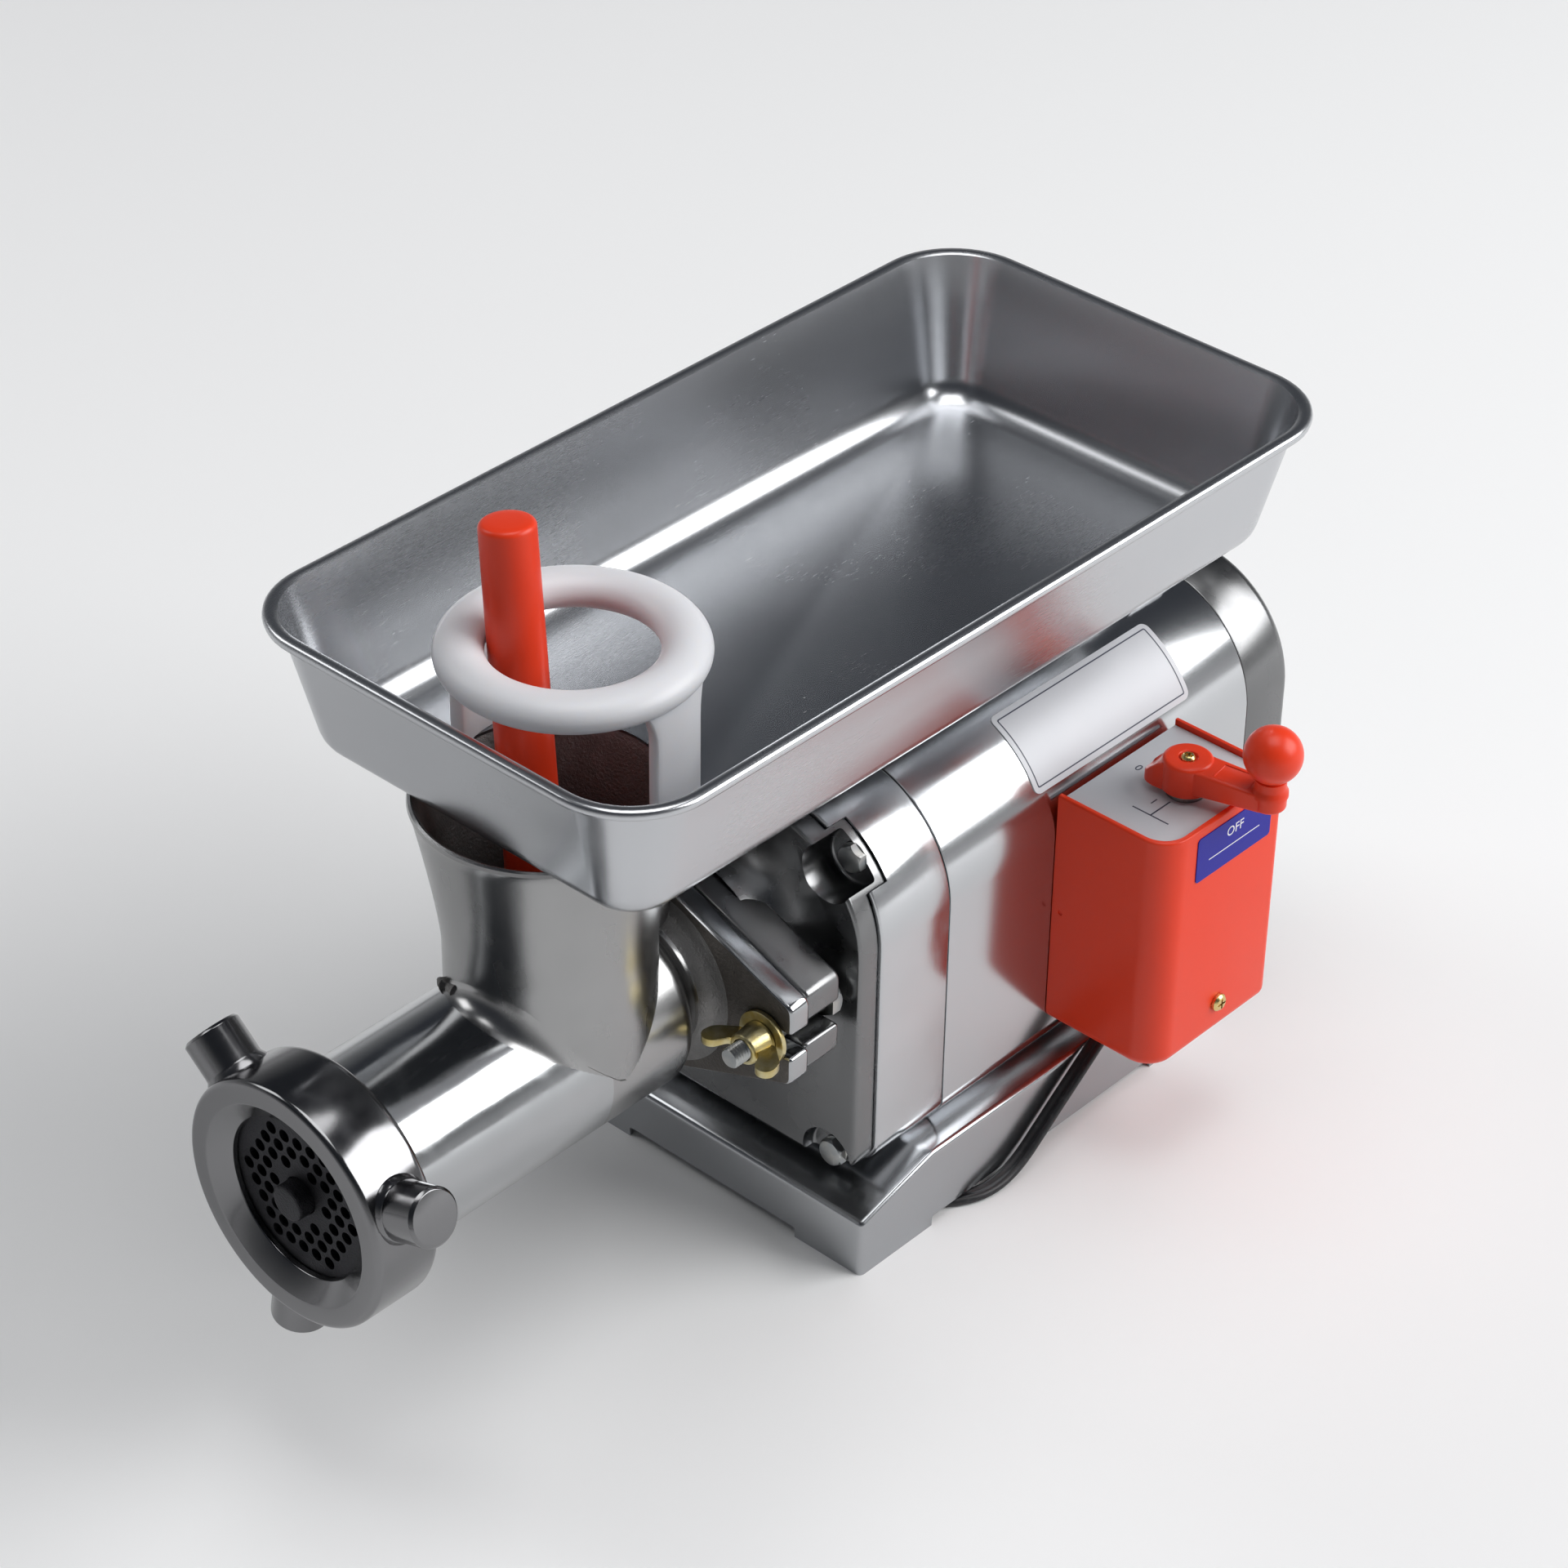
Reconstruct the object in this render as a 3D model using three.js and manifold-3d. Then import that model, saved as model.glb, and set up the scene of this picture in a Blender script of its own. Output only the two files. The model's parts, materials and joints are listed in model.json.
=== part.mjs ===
// Electric meat grinder: a cast feed head clamped to a geared motor unit on a folded
// sheet base, with a feed tray over the head, a reversing switch box on the side and a mains cord.
// Millimetres, +Z up, with the outlet pointing along -Y. The pieces are drawn with X = 0 in the middle
// plane and Z = 0 on the table, and the finished group is centred over its own footprint.
import * as THREE from 'three';
import { mergeVertices } from 'three/addons/utils/BufferGeometryUtils.js';
import Module from 'manifold-3d';

const wasm = await Module();
wasm.setup();

// Clearances
const seat = 0.3; // between pieces that rest on each other
const running = 0.3; // around turning pieces
const boltPlay = 0.4; // around a bolt's shank
const tableGap = 0.2; // under a cord that lies on the table
const past = 1; // how far a cutter runs past the face that it opens

// Base pan
const baseHalfWidth = 75.5;
const baseFront = 60;
const baseLength = 210;
const baseLipHeight = 24.5;
const baseTopHeight = 35.5;
const baseApron = 39;
const baseSheet = 1.8;
const footLength = 40;
const footWidth = 32.8;
const notchHeight = 4.3;

// Housing profile, shared by the gear case, the shell and the rear cover
const housingHalfWidth = 66.5;
const housingHeight = 145.7;
const housingTopRadius = 46;
const housingLowRadius = 12;
const housingBottom = baseTopHeight + seat;
const housingTop = housingBottom + housingHeight;

// Places along Y, from the head back to the rear cover
const flangeFace = 40;
const headFlangeThickness = 10;
const coverFlangeThickness = 17.7;
const snoutLength = 9;
const snoutRadius = 41;
const snoutSwell = 60;
const coverPlateThickness = 10;
const coverInset = 1.2; // the front casting's outline inside the gear case's
const caseLength = 36.9;
const caseWall = 4;
const shellLength = 173.2;
const shellSheet = 1;
const rearCoverLength = 27;
const rearWall = 3;
const ventHalfLength = 22;
const ventHalfHeight = 2.5;
const ventPitch = 10;

const coverFront = flangeFace + seat;
const snoutStart = coverFront + coverFlangeThickness;
const platePlace = snoutStart + snoutLength;
const coverBack = platePlace + coverPlateThickness;
const caseFront = coverBack + seat;
const caseBack = caseFront + caseLength;
const shellFront = caseBack + seat;
const shellBack = shellFront + shellLength;
const rearFront = shellBack + seat;
const rearBack = rearFront + rearCoverLength;

// Gear train: motor pinion, idler gear and pinion, output gear
const outputAxisZ = 119;
const fastModule = 1.25;
const motorTeeth = 12;
const idlerTeeth = 40;
const slowModule = 2;
const idlerPinionTeeth = 12;
const outputTeeth = 36;
const backlash = 0.3;
const fastCentres = (fastModule * (motorTeeth + idlerTeeth)) / 2;
const slowCentres = (slowModule * (idlerPinionTeeth + outputTeeth)) / 2;
const idlerAxisZ = outputAxisZ - slowCentres;
const motorAxisZ = idlerAxisZ + fastCentres;
const slowGearWidth = 12.5;
const fastGearWidth = 9;
const gearSideGap = 1.5; // between the output gear and the boss in front of it
const gearStep = 2.6; // between the slow and the fast gears
const pinionOverlap = 0.8; // how far the motor pinion runs past the idler gear
const idlerPinRadius = 5;
const idlerHubRadius = 10;
const pinionHubRadius = 9;
const outputShaftRadius = 16;
const bushWall = 4;
const driveSquare = 13.4;
const socketDepth = 26;

// Housing bolts
const upperBoltInset = 18; // from the housing's side
const upperBoltDrop = 15; // from the housing's top
const upperTieInset = 24.5; // the long bolts through the motor sit further in
const upperTieDrop = 21.5;
const lowerBoltInset = 17.5;
const lowerBoltRise = 7.2;
const caseBoltRadius = 2.9;
const caseBoltHead = 10;
const caseBoltHeadHeight = 4;
const pocketRadius = 11.5;
const pocketFloor = 3.6;
const lugRadius = 7.5;
const caseBoltLength = 27;
const tieBoltGrip = 8;
const upperBoltX = housingHalfWidth - upperBoltInset;
const upperBoltZ = housingTop - upperBoltDrop;
const upperTieX = housingHalfWidth - upperTieInset;
const upperTieZ = housingTop - upperTieDrop;
const lowerBoltX = housingHalfWidth - lowerBoltInset;
const lowerBoltZ = housingBottom + lowerBoltRise;

// Motor
const shieldThickness = 6.5;
const bearingRadius = 16;
const bearingWidth = 9.5;
const bearingBoss = 20;
const shaftHoleRadius = 10;
const fanHubRadius = 12;
const motorShaftRadius = 6;
const stackFront = 165;
const stackLength = 75;
const stackHalfHeight = 57;
const rotorRadius = 33.4;
const airGap = 0.8;
const windingWidth = 18;
const windingSlope = 5.4; // the rounded shoulder takes this much of the width
const windingInner = 36.5;
const windingOuter = 53;
const fanRadius = 42;
const fanWidth = 10;
const fanBlades = 8;
const fanGap = 4;

// Feed head
const barrelRadius = 36;
const barrelBore = 31;
const barrelFront = -137.3;
const collarRadius = 40;
const collarLength = 15.8;
const barrelBack = 14;
const boreBack = 8;
const hubRadius = 27;
const neckY = -21.5;
const neckRadius = 37.5;
const neckBore = 32.5;
const neckStraightTop = 165;
const neckTop = 223.5;
const mouthRadius = 47.5;
const mouthBore = 44.5;
const flangeTipInset = 0.5; // from the housing's side
const coverTipInset = 2.5;
const flangeTipX = housingHalfWidth - flangeTipInset;
const coverTipX = housingHalfWidth - coverTipInset;
const flangeTipHalf = 16.6;
const flangeSlope = 0.39;

// Cutting set
const plateRadius = 34.8;
const plateThickness = 6.7;
const plateSeatDepth = 4;
const plateHubHole = 7;
const plateHubRing = 2.5; // solid metal left round the middle hole
const plateRimRing = 0.8;
const plateHoleRadius = 2.4;
const plateHolePitch = 6.4;
const knifeThickness = 5.8;
const knifeHubRadius = 11;
const knifeBladeFrom = 6;
const knifeBladeHalf = 3.5;
const augerStudOut = 6; // in front of the plate
const knifeRadius = 29.5;
const knifeSquare = 9;
const augerRadius = 30.2;
const augerFrontCore = 13;
const augerRearCore = 17;
const augerTurns = 4;
const flightThickness = 4;
const augerShaftRadius = 11;
const augerCollarRadius = 20;
const augerStart = 0.34; // turns from +X to the flight's front end
const thrustThickness = 2;

// Ring nut
const ringRadius = 47;
const ringLength = 28;
const ringOpening = 31;
const ringConeRadius = 38.5;
const ringConeDepth = 5.7;
const ringLipThickness = 2;
const lugCount = 3;
const firstLugAngle = 20;
const lugEndRadius = 63.5;
const lugHalfWidth = 10.5;
const lugEdge = 1.2;

// Clamps between the head and the gear cover
const clampInset = 12; // from the flange's tip
const clampX = flangeTipX - clampInset;
const clampSlotHalf = 5.2;
const clampBoltRadius = 4;
const clampHeadSize = 13;
const clampHeadHeight = 5.5;
const washerRadius = 10.5;
const washerThickness = 2;
const wingHubRadius = 6;
const wingHubLength = 9.5;
const wingSpan = 34;
const wingThickness = 3;
const wingReach = 5;
const studOut = 6.5;

// Tray
const trayHalfWidth = 96;
const trayFront = -78;
const trayLength = 371;
const trayRimRadius = 33;
const trayHeight = 57.2;
const trayLip = 4.5;
const trayWallLean = 13.7;
const trayFloorRadius = 17;
const traySheet = 1.2;
const trayLipThickness = 1.8;
const trayHoleRadius = 39.8;
const trayHoleY = -18.5;
const trayBottom = neckTop + seat;
const trayTop = trayBottom + trayHeight;

// Tray support on the shell
const supportY = 256;
const supportDepth = 20;
const supportHalfWidth = 22;
const supportFoot = 10;
const supportSheet = 2;
const supportDrop = 20; // the strap's sides reach this far below the shell's top

// Guard and plunger
const guardY = -8;
const guardRadius = 38.2;
const guardHalfThickness = 8.8;
const guardHalfHeight = 6.5;
const guardHeight = 50;
const guardTurn = 10;
const guardLegWidth = 26;
const guardLegThickness = 5;
const plungerRadius = 10.5;
const plungerTopRadius = 9.9;
const plungerTopEdge = 2.5;
const plungerLength = 170;
const plungerTop = new THREE.Vector3(-19.95, -17.6, 320);
const plungerLean = new THREE.Vector3(-13, 4, 128);

// Switch box
const boxWidth = 51.2;
const boxFront = 173;
const boxDepth = 70.5;
const boxBottom = 55.5;
const boxHeight = 99.4;
const boxCorner = 12;
const boxBackCorner = 5;
const boxWall = 2;
const topPlateDrop = 2.2;
const topPlateThickness = 1.5;
const knobReach = 30.2; // from the box's inner side
const knobBack = 36.5; // from the box's front
const knobRadius = 9.6;
const knobBottomGap = 3;
const knobHeight = 12.8;
const armTurn = 8.5; // from +X towards the back, in degrees
const armReach = 34;
const armWidth = 11;
const armEndThickness = 7.5;
const armEndRadius = 6.3;
const armStep = 1; // the arm lies this far inside the hub's two ends
const ballRadius = 11;
const ballRise = 26.9;
const pointerReach = 20.5;
const pointerHalfWidth = 7;
const pointerTipHalf = 3.5;
const pointerTipHeight = 2;
const switchBodySize = 40;
const switchBodyHeight = 34;
const drumRadius = 7;
const capacitorRadius = 14;
const capacitorHeight = 44;
const labelThickness = 0.4;
const boxInner = housingHalfWidth + seat;
const boxOuter = boxInner + boxWidth;
const boxBack = boxFront + boxDepth;
const boxTop = boxBottom + boxHeight;
const topPlateZ = boxTop - topPlateDrop - topPlateThickness;
const knobX = boxInner + knobReach;
const knobY = boxFront + knobBack;
const knobBottom = topPlateZ + topPlateThickness + knobBottomGap;
const drumDepth = 20;
const knobScrewRadius = 2.8;
const knobScrewDepth = 3;
const knobEdge = 1.5;
const screwSlotHalf = 1.9;
const screwSlotHalfWidth = 0.5;
const screwSlotDepth = 1.4;
const stemRadius = 5;
const boxScrewBack = 38; // from the box's front
const boxScrewRise = 10.5; // from the box's floor
const boxScrewRadius = 2;
const boxScrewHead = 3.6;
const boxScrewOut = 2.4;
const switchLabelWidth = 44;
const switchLabelHeight = 18.5;
const switchLabelCorner = 1.5;
const switchLabelBack = 39.5; // from the box's front to the label's middle
const switchLabelDrop = 13; // from the box's top to the label's middle

// Label plate bent over the shell's upper corner
const shellLabelFront = 51.5; // from the shell's front
const shellLabelLength = 90;
const shellLabelFrom = 26; // angles up from the shell's side
const shellLabelTo = 68;

// Cord
const cordWidth = 6.7;
const cordThickness = 3.4;
const cordExitX = 79.6;
const cordExitY = 194.3;
const cordExitZ = 42.1;
const cordSlope = 36.5;
const reliefLength = 24;
const reliefEnd = 4.6;
const reliefStart = 6.2;
const coilX = -150;
const coilY = 190;
const coilTurnsAcross = 4;
const coilTurnsHigh = 2;
const coilRadius = 37.5;
const coilOuter = coilRadius + (coilTurnsAcross * cordWidth) / 2;
const coilInner = coilRadius - (coilTurnsAcross * cordWidth) / 2;
const plugLength = 34;
const plugWidth = 25;
const plugHeight = 16;
const bladeLength = 17;
const bladeWidth = 6.4;
const bladeThickness = 1.5;
const bladeSpacing = 12.7;

const alongX = new THREE.Vector3(1, 0, 0);
const alongY = new THREE.Vector3(0, 1, 0);
const alongZ = new THREE.Vector3(0, 0, 1);

// --- Solids -------------------------------------------------------------------------------

function toSolid(geometry) {
  const bare = geometry.clone();
  bare.deleteAttribute('normal');
  bare.deleteAttribute('uv');
  const merged = mergeVertices(bare, 1e-4);
  const corners = merged.index.array;
  const faces = [];
  for (let i = 0; i < corners.length; i += 3) {
    const [a, b, c] = [corners[i], corners[i + 1], corners[i + 2]];
    if (a !== b && b !== c && c !== a) {
      faces.push(a, b, c);
    }
  }
  const vertProperties = new Float32Array(merged.attributes.position.array);
  const triVerts = new Uint32Array(faces);
  return new wasm.Manifold(new wasm.Mesh({ numProp: 3, vertProperties, triVerts }));
}

function toGeometry(solid) {
  const mesh = solid.getMesh();
  const geometry = new THREE.BufferGeometry();
  geometry.setAttribute('position', new THREE.BufferAttribute(new Float32Array(mesh.vertProperties), 3));
  geometry.setIndex(new THREE.BufferAttribute(new Uint32Array(mesh.triVerts), 1));
  const flat = geometry.toNonIndexed();
  flat.computeVertexNormals();
  return flat;
}

function joined(first, ...others) {
  return others.reduce((whole, part) => whole.add(part), first);
}

function cutBy(first, ...cutters) {
  return cutters.reduce((whole, cutter) => whole.subtract(cutter), first);
}

// A box between two ends on each axis.
function block(x0, x1, y0, y1, z0, z1) {
  const geometry = new THREE.BoxGeometry(x1 - x0, y1 - y0, z1 - z0);
  geometry.translate((x0 + x1) / 2, (y0 + y1) / 2, (z0 + z1) / 2);
  return toSolid(geometry);
}

// An outline drawn in X and Z, run along Y.
function prismY(shape, from, to, curveSegments = 3) {
  const depth = to - from;
  const geometry = new THREE.ExtrudeGeometry(shape, { depth, bevelEnabled: false, curveSegments });
  geometry.applyMatrix4(new THREE.Matrix4().makeBasis(alongX, alongZ, alongY.clone().negate()));
  geometry.translate(0, to, 0);
  return toSolid(geometry);
}

// An outline drawn in Y and Z, run along X.
function prismX(shape, from, to, curveSegments = 3) {
  const depth = to - from;
  const geometry = new THREE.ExtrudeGeometry(shape, { depth, bevelEnabled: false, curveSegments });
  geometry.applyMatrix4(new THREE.Matrix4().makeBasis(alongY, alongZ, alongX));
  geometry.translate(from, 0, 0);
  return toSolid(geometry);
}

// An outline drawn in X and Y, run along Z.
function prismZ(shape, from, to, curveSegments = 3) {
  const depth = to - from;
  const geometry = new THREE.ExtrudeGeometry(shape, { depth, bevelEnabled: false, curveSegments });
  geometry.translate(0, 0, from);
  return toSolid(geometry);
}

// A profile of [radius, place] points turned about an axis through the origin.
function turned(profile, axis, sides) {
  const points = profile.map(([radius, place]) => new THREE.Vector2(radius, place));
  if (THREE.ShapeUtils.isClockWise(points)) {
    points.reverse();
  }
  const onAxis = points[0].x === 0 && points[points.length - 1].x === 0;
  if (!onAxis) {
    points.push(points[0].clone());
  }
  const geometry = new THREE.LatheGeometry(points, sides);
  geometry.applyQuaternion(new THREE.Quaternion().setFromUnitVectors(alongY, axis));
  return toSolid(geometry);
}

function turnedY(profile, sides = 32) {
  return turned(profile, alongY, sides);
}

function turnedZ(profile, sides = 32) {
  return turned(profile, alongZ, sides);
}

// A plain disc or ring about an axis through the origin.
function disc(axis, radius, from, to, sides = 24) {
  return turned([[0, from], [radius, from], [radius, to], [0, to]], axis, sides);
}

function ring(axis, inner, outer, from, to, sides = 28) {
  return turned([[inner, from], [outer, from], [outer, to], [inner, to]], axis, sides);
}

function hexagonY(size, from, to) {
  return disc(alongY, size / Math.sqrt(3), from, to, 6);
}

function squareY(size, from, to) {
  return block(-size / 2, size / 2, from, to, -size / 2, size / 2);
}

function polygon(points) {
  return new THREE.Shape(points.map(([x, y]) => new THREE.Vector2(x, y)));
}

function roundedRectangle(halfX, halfY, radius) {
  const shape = new THREE.Shape();
  shape.absarc(halfX - radius, halfY - radius, radius, 0, Math.PI / 2);
  shape.absarc(radius - halfX, halfY - radius, radius, Math.PI / 2, Math.PI);
  shape.absarc(radius - halfX, radius - halfY, radius, Math.PI, 1.5 * Math.PI);
  shape.absarc(halfX - radius, radius - halfY, radius, 1.5 * Math.PI, 2 * Math.PI);
  return shape;
}

function piece(name, solid, material) {
  const mesh = new THREE.Mesh(toGeometry(solid), material);
  mesh.name = name;
  return mesh;
}

function placed(mesh, x, y, z) {
  mesh.position.set(x, y, z);
  return mesh;
}

function degrees(angle) {
  return THREE.MathUtils.degToRad(angle);
}

// --- Materials ----------------------------------------------------------------------------

function finish(color, roughness, metalness) {
  return new THREE.MeshStandardMaterial({ color, roughness, metalness });
}

const polishedCast = finish(0xb4b5b6, 0.25, 1);
const mirrorSheet = finish(0xc9cbcd, 0.12, 1);
const satinSheet = finish(0xa9abad, 0.3, 1);
const baseSheetFinish = finish(0x8f9193, 0.2, 1);
const darkSteel = finish(0x3b3a3a, 0.45, 0.9);
const zincSteel = finish(0xa7aaad, 0.35, 1);
const yellowZinc = finish(0xb59a4e, 0.35, 1);
const brassFinish = finish(0xb8963f, 0.3, 1);
const bronzeFinish = finish(0x9a7440, 0.4, 1);
const copperFinish = finish(0x9c5a32, 0.4, 0.8);
const laminations = finish(0x55565a, 0.6, 0.8);
const redPlastic = finish(0xc3241c, 0.3, 0);
const whiteNylon = finish(0xe6e3dd, 0.45, 0);
const blackRubber = finish(0x1c1c1e, 0.5, 0);
const blackPlastic = finish(0x232326, 0.4, 0);
const labelSilver = finish(0xc4c7cc, 0.4, 0.3);
const labelBlue = finish(0x2c469c, 0.4, 0);

// --- Base and housing ---------------------------------------------------------------------

const baseBack = baseFront + baseLength;

function panOutline(inset, low) {
  const lip = baseLipHeight - inset;
  const top = baseTopHeight - inset;
  return polygon([
    [baseFront + inset, low],
    [baseBack - inset, low],
    [baseBack - inset, lip],
    [baseBack - baseApron, top],
    [baseFront + baseApron, top],
    [baseFront + inset, lip],
  ]);
}

function basePan() {
  const outer = prismX(panOutline(0, 0), -baseHalfWidth, baseHalfWidth);
  const innerHalf = baseHalfWidth - baseSheet;
  const inner = prismX(panOutline(baseSheet, -past), -innerHalf, innerHalf);
  const frontNotchHalf = baseHalfWidth - footWidth;
  const endNotch = block(
    -frontNotchHalf, frontNotchHalf,
    baseFront - past, baseBack + past,
    -past, notchHeight,
  );
  const sideNotch = block(
    -baseHalfWidth - past, baseHalfWidth + past,
    baseFront + footLength, baseBack - footLength,
    -past, notchHeight,
  );
  return cutBy(outer, inner, endNotch, sideNotch);
}

// The housing's round-topped outline, drawn smaller by the inset.
function housingOutline(inset) {
  const half = housingHalfWidth - inset;
  const top = housingTop - inset;
  const low = housingBottom + inset;
  const topRadius = housingTopRadius - inset;
  const lowRadius = housingLowRadius - inset;
  const shape = new THREE.Shape();
  shape.absarc(half - topRadius, top - topRadius, topRadius, 0, Math.PI / 2);
  shape.absarc(topRadius - half, top - topRadius, topRadius, Math.PI / 2, Math.PI);
  shape.absarc(lowRadius - half, low + lowRadius, lowRadius, Math.PI, 1.5 * Math.PI);
  shape.absarc(half - lowRadius, low + lowRadius, lowRadius, 1.5 * Math.PI, 2 * Math.PI);
  return shape;
}

function housingPrism(inset, from, to) {
  return prismY(housingOutline(inset), from, to, 4);
}

const boltPlaces = [
  [upperBoltX, upperBoltZ],
  [-upperBoltX, upperBoltZ],
  [-lowerBoltX, lowerBoltZ],
  [lowerBoltX, lowerBoltZ],
];
const tieBoltPlaces = [
  [upperTieX, upperTieZ],
  [-upperTieX, upperTieZ],
  [-lowerBoltX, lowerBoltZ],
  [lowerBoltX, lowerBoltZ],
];

function boltHole(x, z, from, to) {
  return disc(alongY, caseBoltRadius + boltPlay, from, to, 12).translate(x, 0, z);
}

// The hexagon-shaped flange that carries the two clamps, open at its tips.
function clampFlange(tipX, from, to) {
  const rise = flangeTipHalf + flangeSlope * tipX;
  const body = prismY(polygon([
    [tipX, -flangeTipHalf],
    [tipX, flangeTipHalf],
    [0, rise],
    [-tipX, flangeTipHalf],
    [-tipX, -flangeTipHalf],
    [0, -rise],
  ]), from, to);
  const slots = [1, -1].flatMap((side) => [
    disc(alongY, clampSlotHalf, from - past, to + past, 20).translate(side * clampX, 0, 0),
    block(0, tipX, from - past, to + past, -clampSlotHalf, clampSlotHalf).translate(
      side > 0 ? clampX : -clampX - tipX, 0, 0,
    ),
  ]);
  return cutBy(body, ...slots).translate(0, 0, outputAxisZ);
}

const bushRadius = outputShaftRadius + running + bushWall;
const bushBore = bushRadius + seat;
const bushFront = flangeFace + 5;
const bushBossBack = coverBack + 5;
const gearFront = bushBossBack + gearSideGap;

// The front casting: clamp flange, swelling snout and the plate that closes the gear case.
function gearCover() {
  const flange = clampFlange(coverTipX, coverFront, snoutStart);
  const snout = turnedY([
    [0, snoutStart - past],
    [snoutRadius - 1, snoutStart - past],
    [snoutRadius, snoutStart + 4],
    [snoutRadius + 4, snoutStart + 8],
    [snoutRadius + 11, platePlace + 2],
    [snoutSwell, platePlace + 4],
    [snoutSwell, coverBack - past],
    [0, coverBack - past],
  ]).translate(0, 0, outputAxisZ).intersect(housingPrism(coverInset, snoutStart - 2 * past, coverBack));
  const plate = housingPrism(coverInset, platePlace, coverBack);
  const bushBoss = disc(alongY, bushBore + 5, coverBack - past, bushBossBack).translate(0, 0, outputAxisZ);
  const pinBoss = disc(alongY, idlerPinRadius + 4, coverBack - past, bushBossBack, 24)
    .translate(0, 0, idlerAxisZ);
  const pockets = boltPlaces.map(([x, z]) =>
    disc(alongY, pocketRadius, snoutStart + past, coverBack - pocketFloor, 24).translate(x, 0, z));
  const holes = boltPlaces.map(([x, z]) => boltHole(x, z, snoutStart, coverBack + past));
  const shaftHole = disc(alongY, augerShaftRadius + 2, coverFront - past, coverBack)
    .translate(0, 0, outputAxisZ);
  const bushHole = disc(alongY, bushBore, bushFront - seat, bushBossBack + past)
    .translate(0, 0, outputAxisZ);
  const pinHole = disc(alongY, idlerPinRadius + seat, coverBack - 4, bushBossBack + past, 20)
    .translate(0, 0, idlerAxisZ);
  const body = joined(flange, snout, plate, bushBoss, pinBoss);
  return cutBy(body, ...pockets, ...holes, shaftHole, bushHole, pinHole);
}

function gearCase() {
  const band = cutBy(
    housingPrism(0, caseFront, caseBack),
    housingPrism(caseWall, caseFront - past, caseBack + past),
  );
  const solidCase = housingPrism(past, caseFront, caseBack);
  const lugs = [...boltPlaces, ...tieBoltPlaces].map(([x, z]) =>
    disc(alongY, lugRadius, caseFront, caseBack, 20).translate(x, 0, z).intersect(solidCase));
  const frontHoles = boltPlaces.map(([x, z]) =>
    boltHole(x, z, caseFront - past, coverBack - pocketFloor + caseBoltLength + seat));
  const backHoles = tieBoltPlaces.map(([x, z]) =>
    boltHole(x, z, caseBack - tieBoltGrip - seat, caseBack + past));
  return cutBy(joined(band, ...lugs), ...frontHoles, ...backHoles);
}

function hexBolt(length) {
  const head = hexagonY(caseBoltHead, -caseBoltHeadHeight, 0);
  return joined(head, disc(alongY, caseBoltRadius, -past / 2, length, 12));
}

function shell() {
  return cutBy(
    housingPrism(0, shellFront, shellBack),
    housingPrism(shellSheet, shellFront - past, shellBack + past),
  );
}

const insideShell = shellSheet + seat;

function bearingSeat(from, to) {
  return disc(alongY, bearingRadius + seat, from, to).translate(0, 0, motorAxisZ);
}

const bearingFront = shellFront + 5;

// The bulkhead between gear case and motor, with the front bearing and the idler pin's end.
function motorShield() {
  const back = shellFront + shieldThickness;
  const plate = housingPrism(insideShell, shellFront, back);
  const boss = disc(alongY, bearingBoss, back - past, bearingFront + bearingWidth + 1, 24)
    .translate(0, 0, motorAxisZ);
  const bore = bearingSeat(bearingFront - seat, bearingFront + bearingWidth + 1 + past);
  const shaftHole = disc(alongY, shaftHoleRadius, shellFront - past, back, 24).translate(0, 0, motorAxisZ);
  const pinHole = disc(alongY, idlerPinRadius + seat, shellFront - past, shellFront + 4, 20)
    .translate(0, 0, idlerAxisZ);
  const holes = tieBoltPlaces.map(([x, z]) => boltHole(x, z, shellFront - past, back + past));
  return cutBy(joined(plate, boss), bore, shaftHole, pinHole, ...holes);
}

const rearBearingFront = shellBack - 7;

function rearCover() {
  const body = housingPrism(0, rearFront, rearBack);
  const hollow = housingPrism(rearWall, rearFront - past, rearBack - rearWall);
  const lip = cutBy(
    housingPrism(insideShell, rearFront - 7, rearFront + 2),
    housingPrism(insideShell + 2, rearFront - 7 - past, rearFront + 2 + past),
  );
  const rim = cutBy(
    housingPrism(past / 2, rearFront, rearFront + 2),
    housingPrism(insideShell + 2, rearFront - past, rearFront + 2 + past),
  );
  const boss = disc(alongY, bearingBoss, rearBearingFront, rearBack - past, 24).translate(0, 0, motorAxisZ);
  const bore = bearingSeat(rearBearingFront - past, rearBearingFront + bearingWidth + 4);
  const holes = tieBoltPlaces.map(([x, z]) => boltHole(x, z, rearBearingFront - past, rearBack + past));
  const vents = [-2, -1, 1, 2].map((row) =>
    block(
      -ventHalfLength, ventHalfLength,
      rearBack - rearWall - past, rearBack + past,
      -ventHalfHeight, ventHalfHeight,
    ).translate(0, 0, motorAxisZ + row * ventPitch + Math.sign(row) * (bearingBoss - 6)));
  return cutBy(joined(cutBy(body, hollow), lip, rim, boss), bore, ...holes, ...vents);
}

// --- Motor and gears ----------------------------------------------------------------------

function bearing() {
  return ring(alongY, motorShaftRadius + running, bearingRadius, 0, bearingWidth, 20);
}

const stackBack = stackFront + stackLength;

function statorStack() {
  const high = motorAxisZ + stackHalfHeight;
  const low = motorAxisZ - stackHalfHeight;
  const outline = housingPrism(insideShell, stackFront, stackBack);
  const limits = block(-housingHalfWidth, housingHalfWidth, stackFront, stackBack, low, high);
  const bore = disc(alongY, rotorRadius + airGap, stackFront - past, stackBack + past, 36)
    .translate(0, 0, motorAxisZ);
  const holes = tieBoltPlaces.map(([x, z]) => boltHole(x, z, stackFront - past, stackBack + past));
  return cutBy(outline.intersect(limits), bore, ...holes);
}

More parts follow.
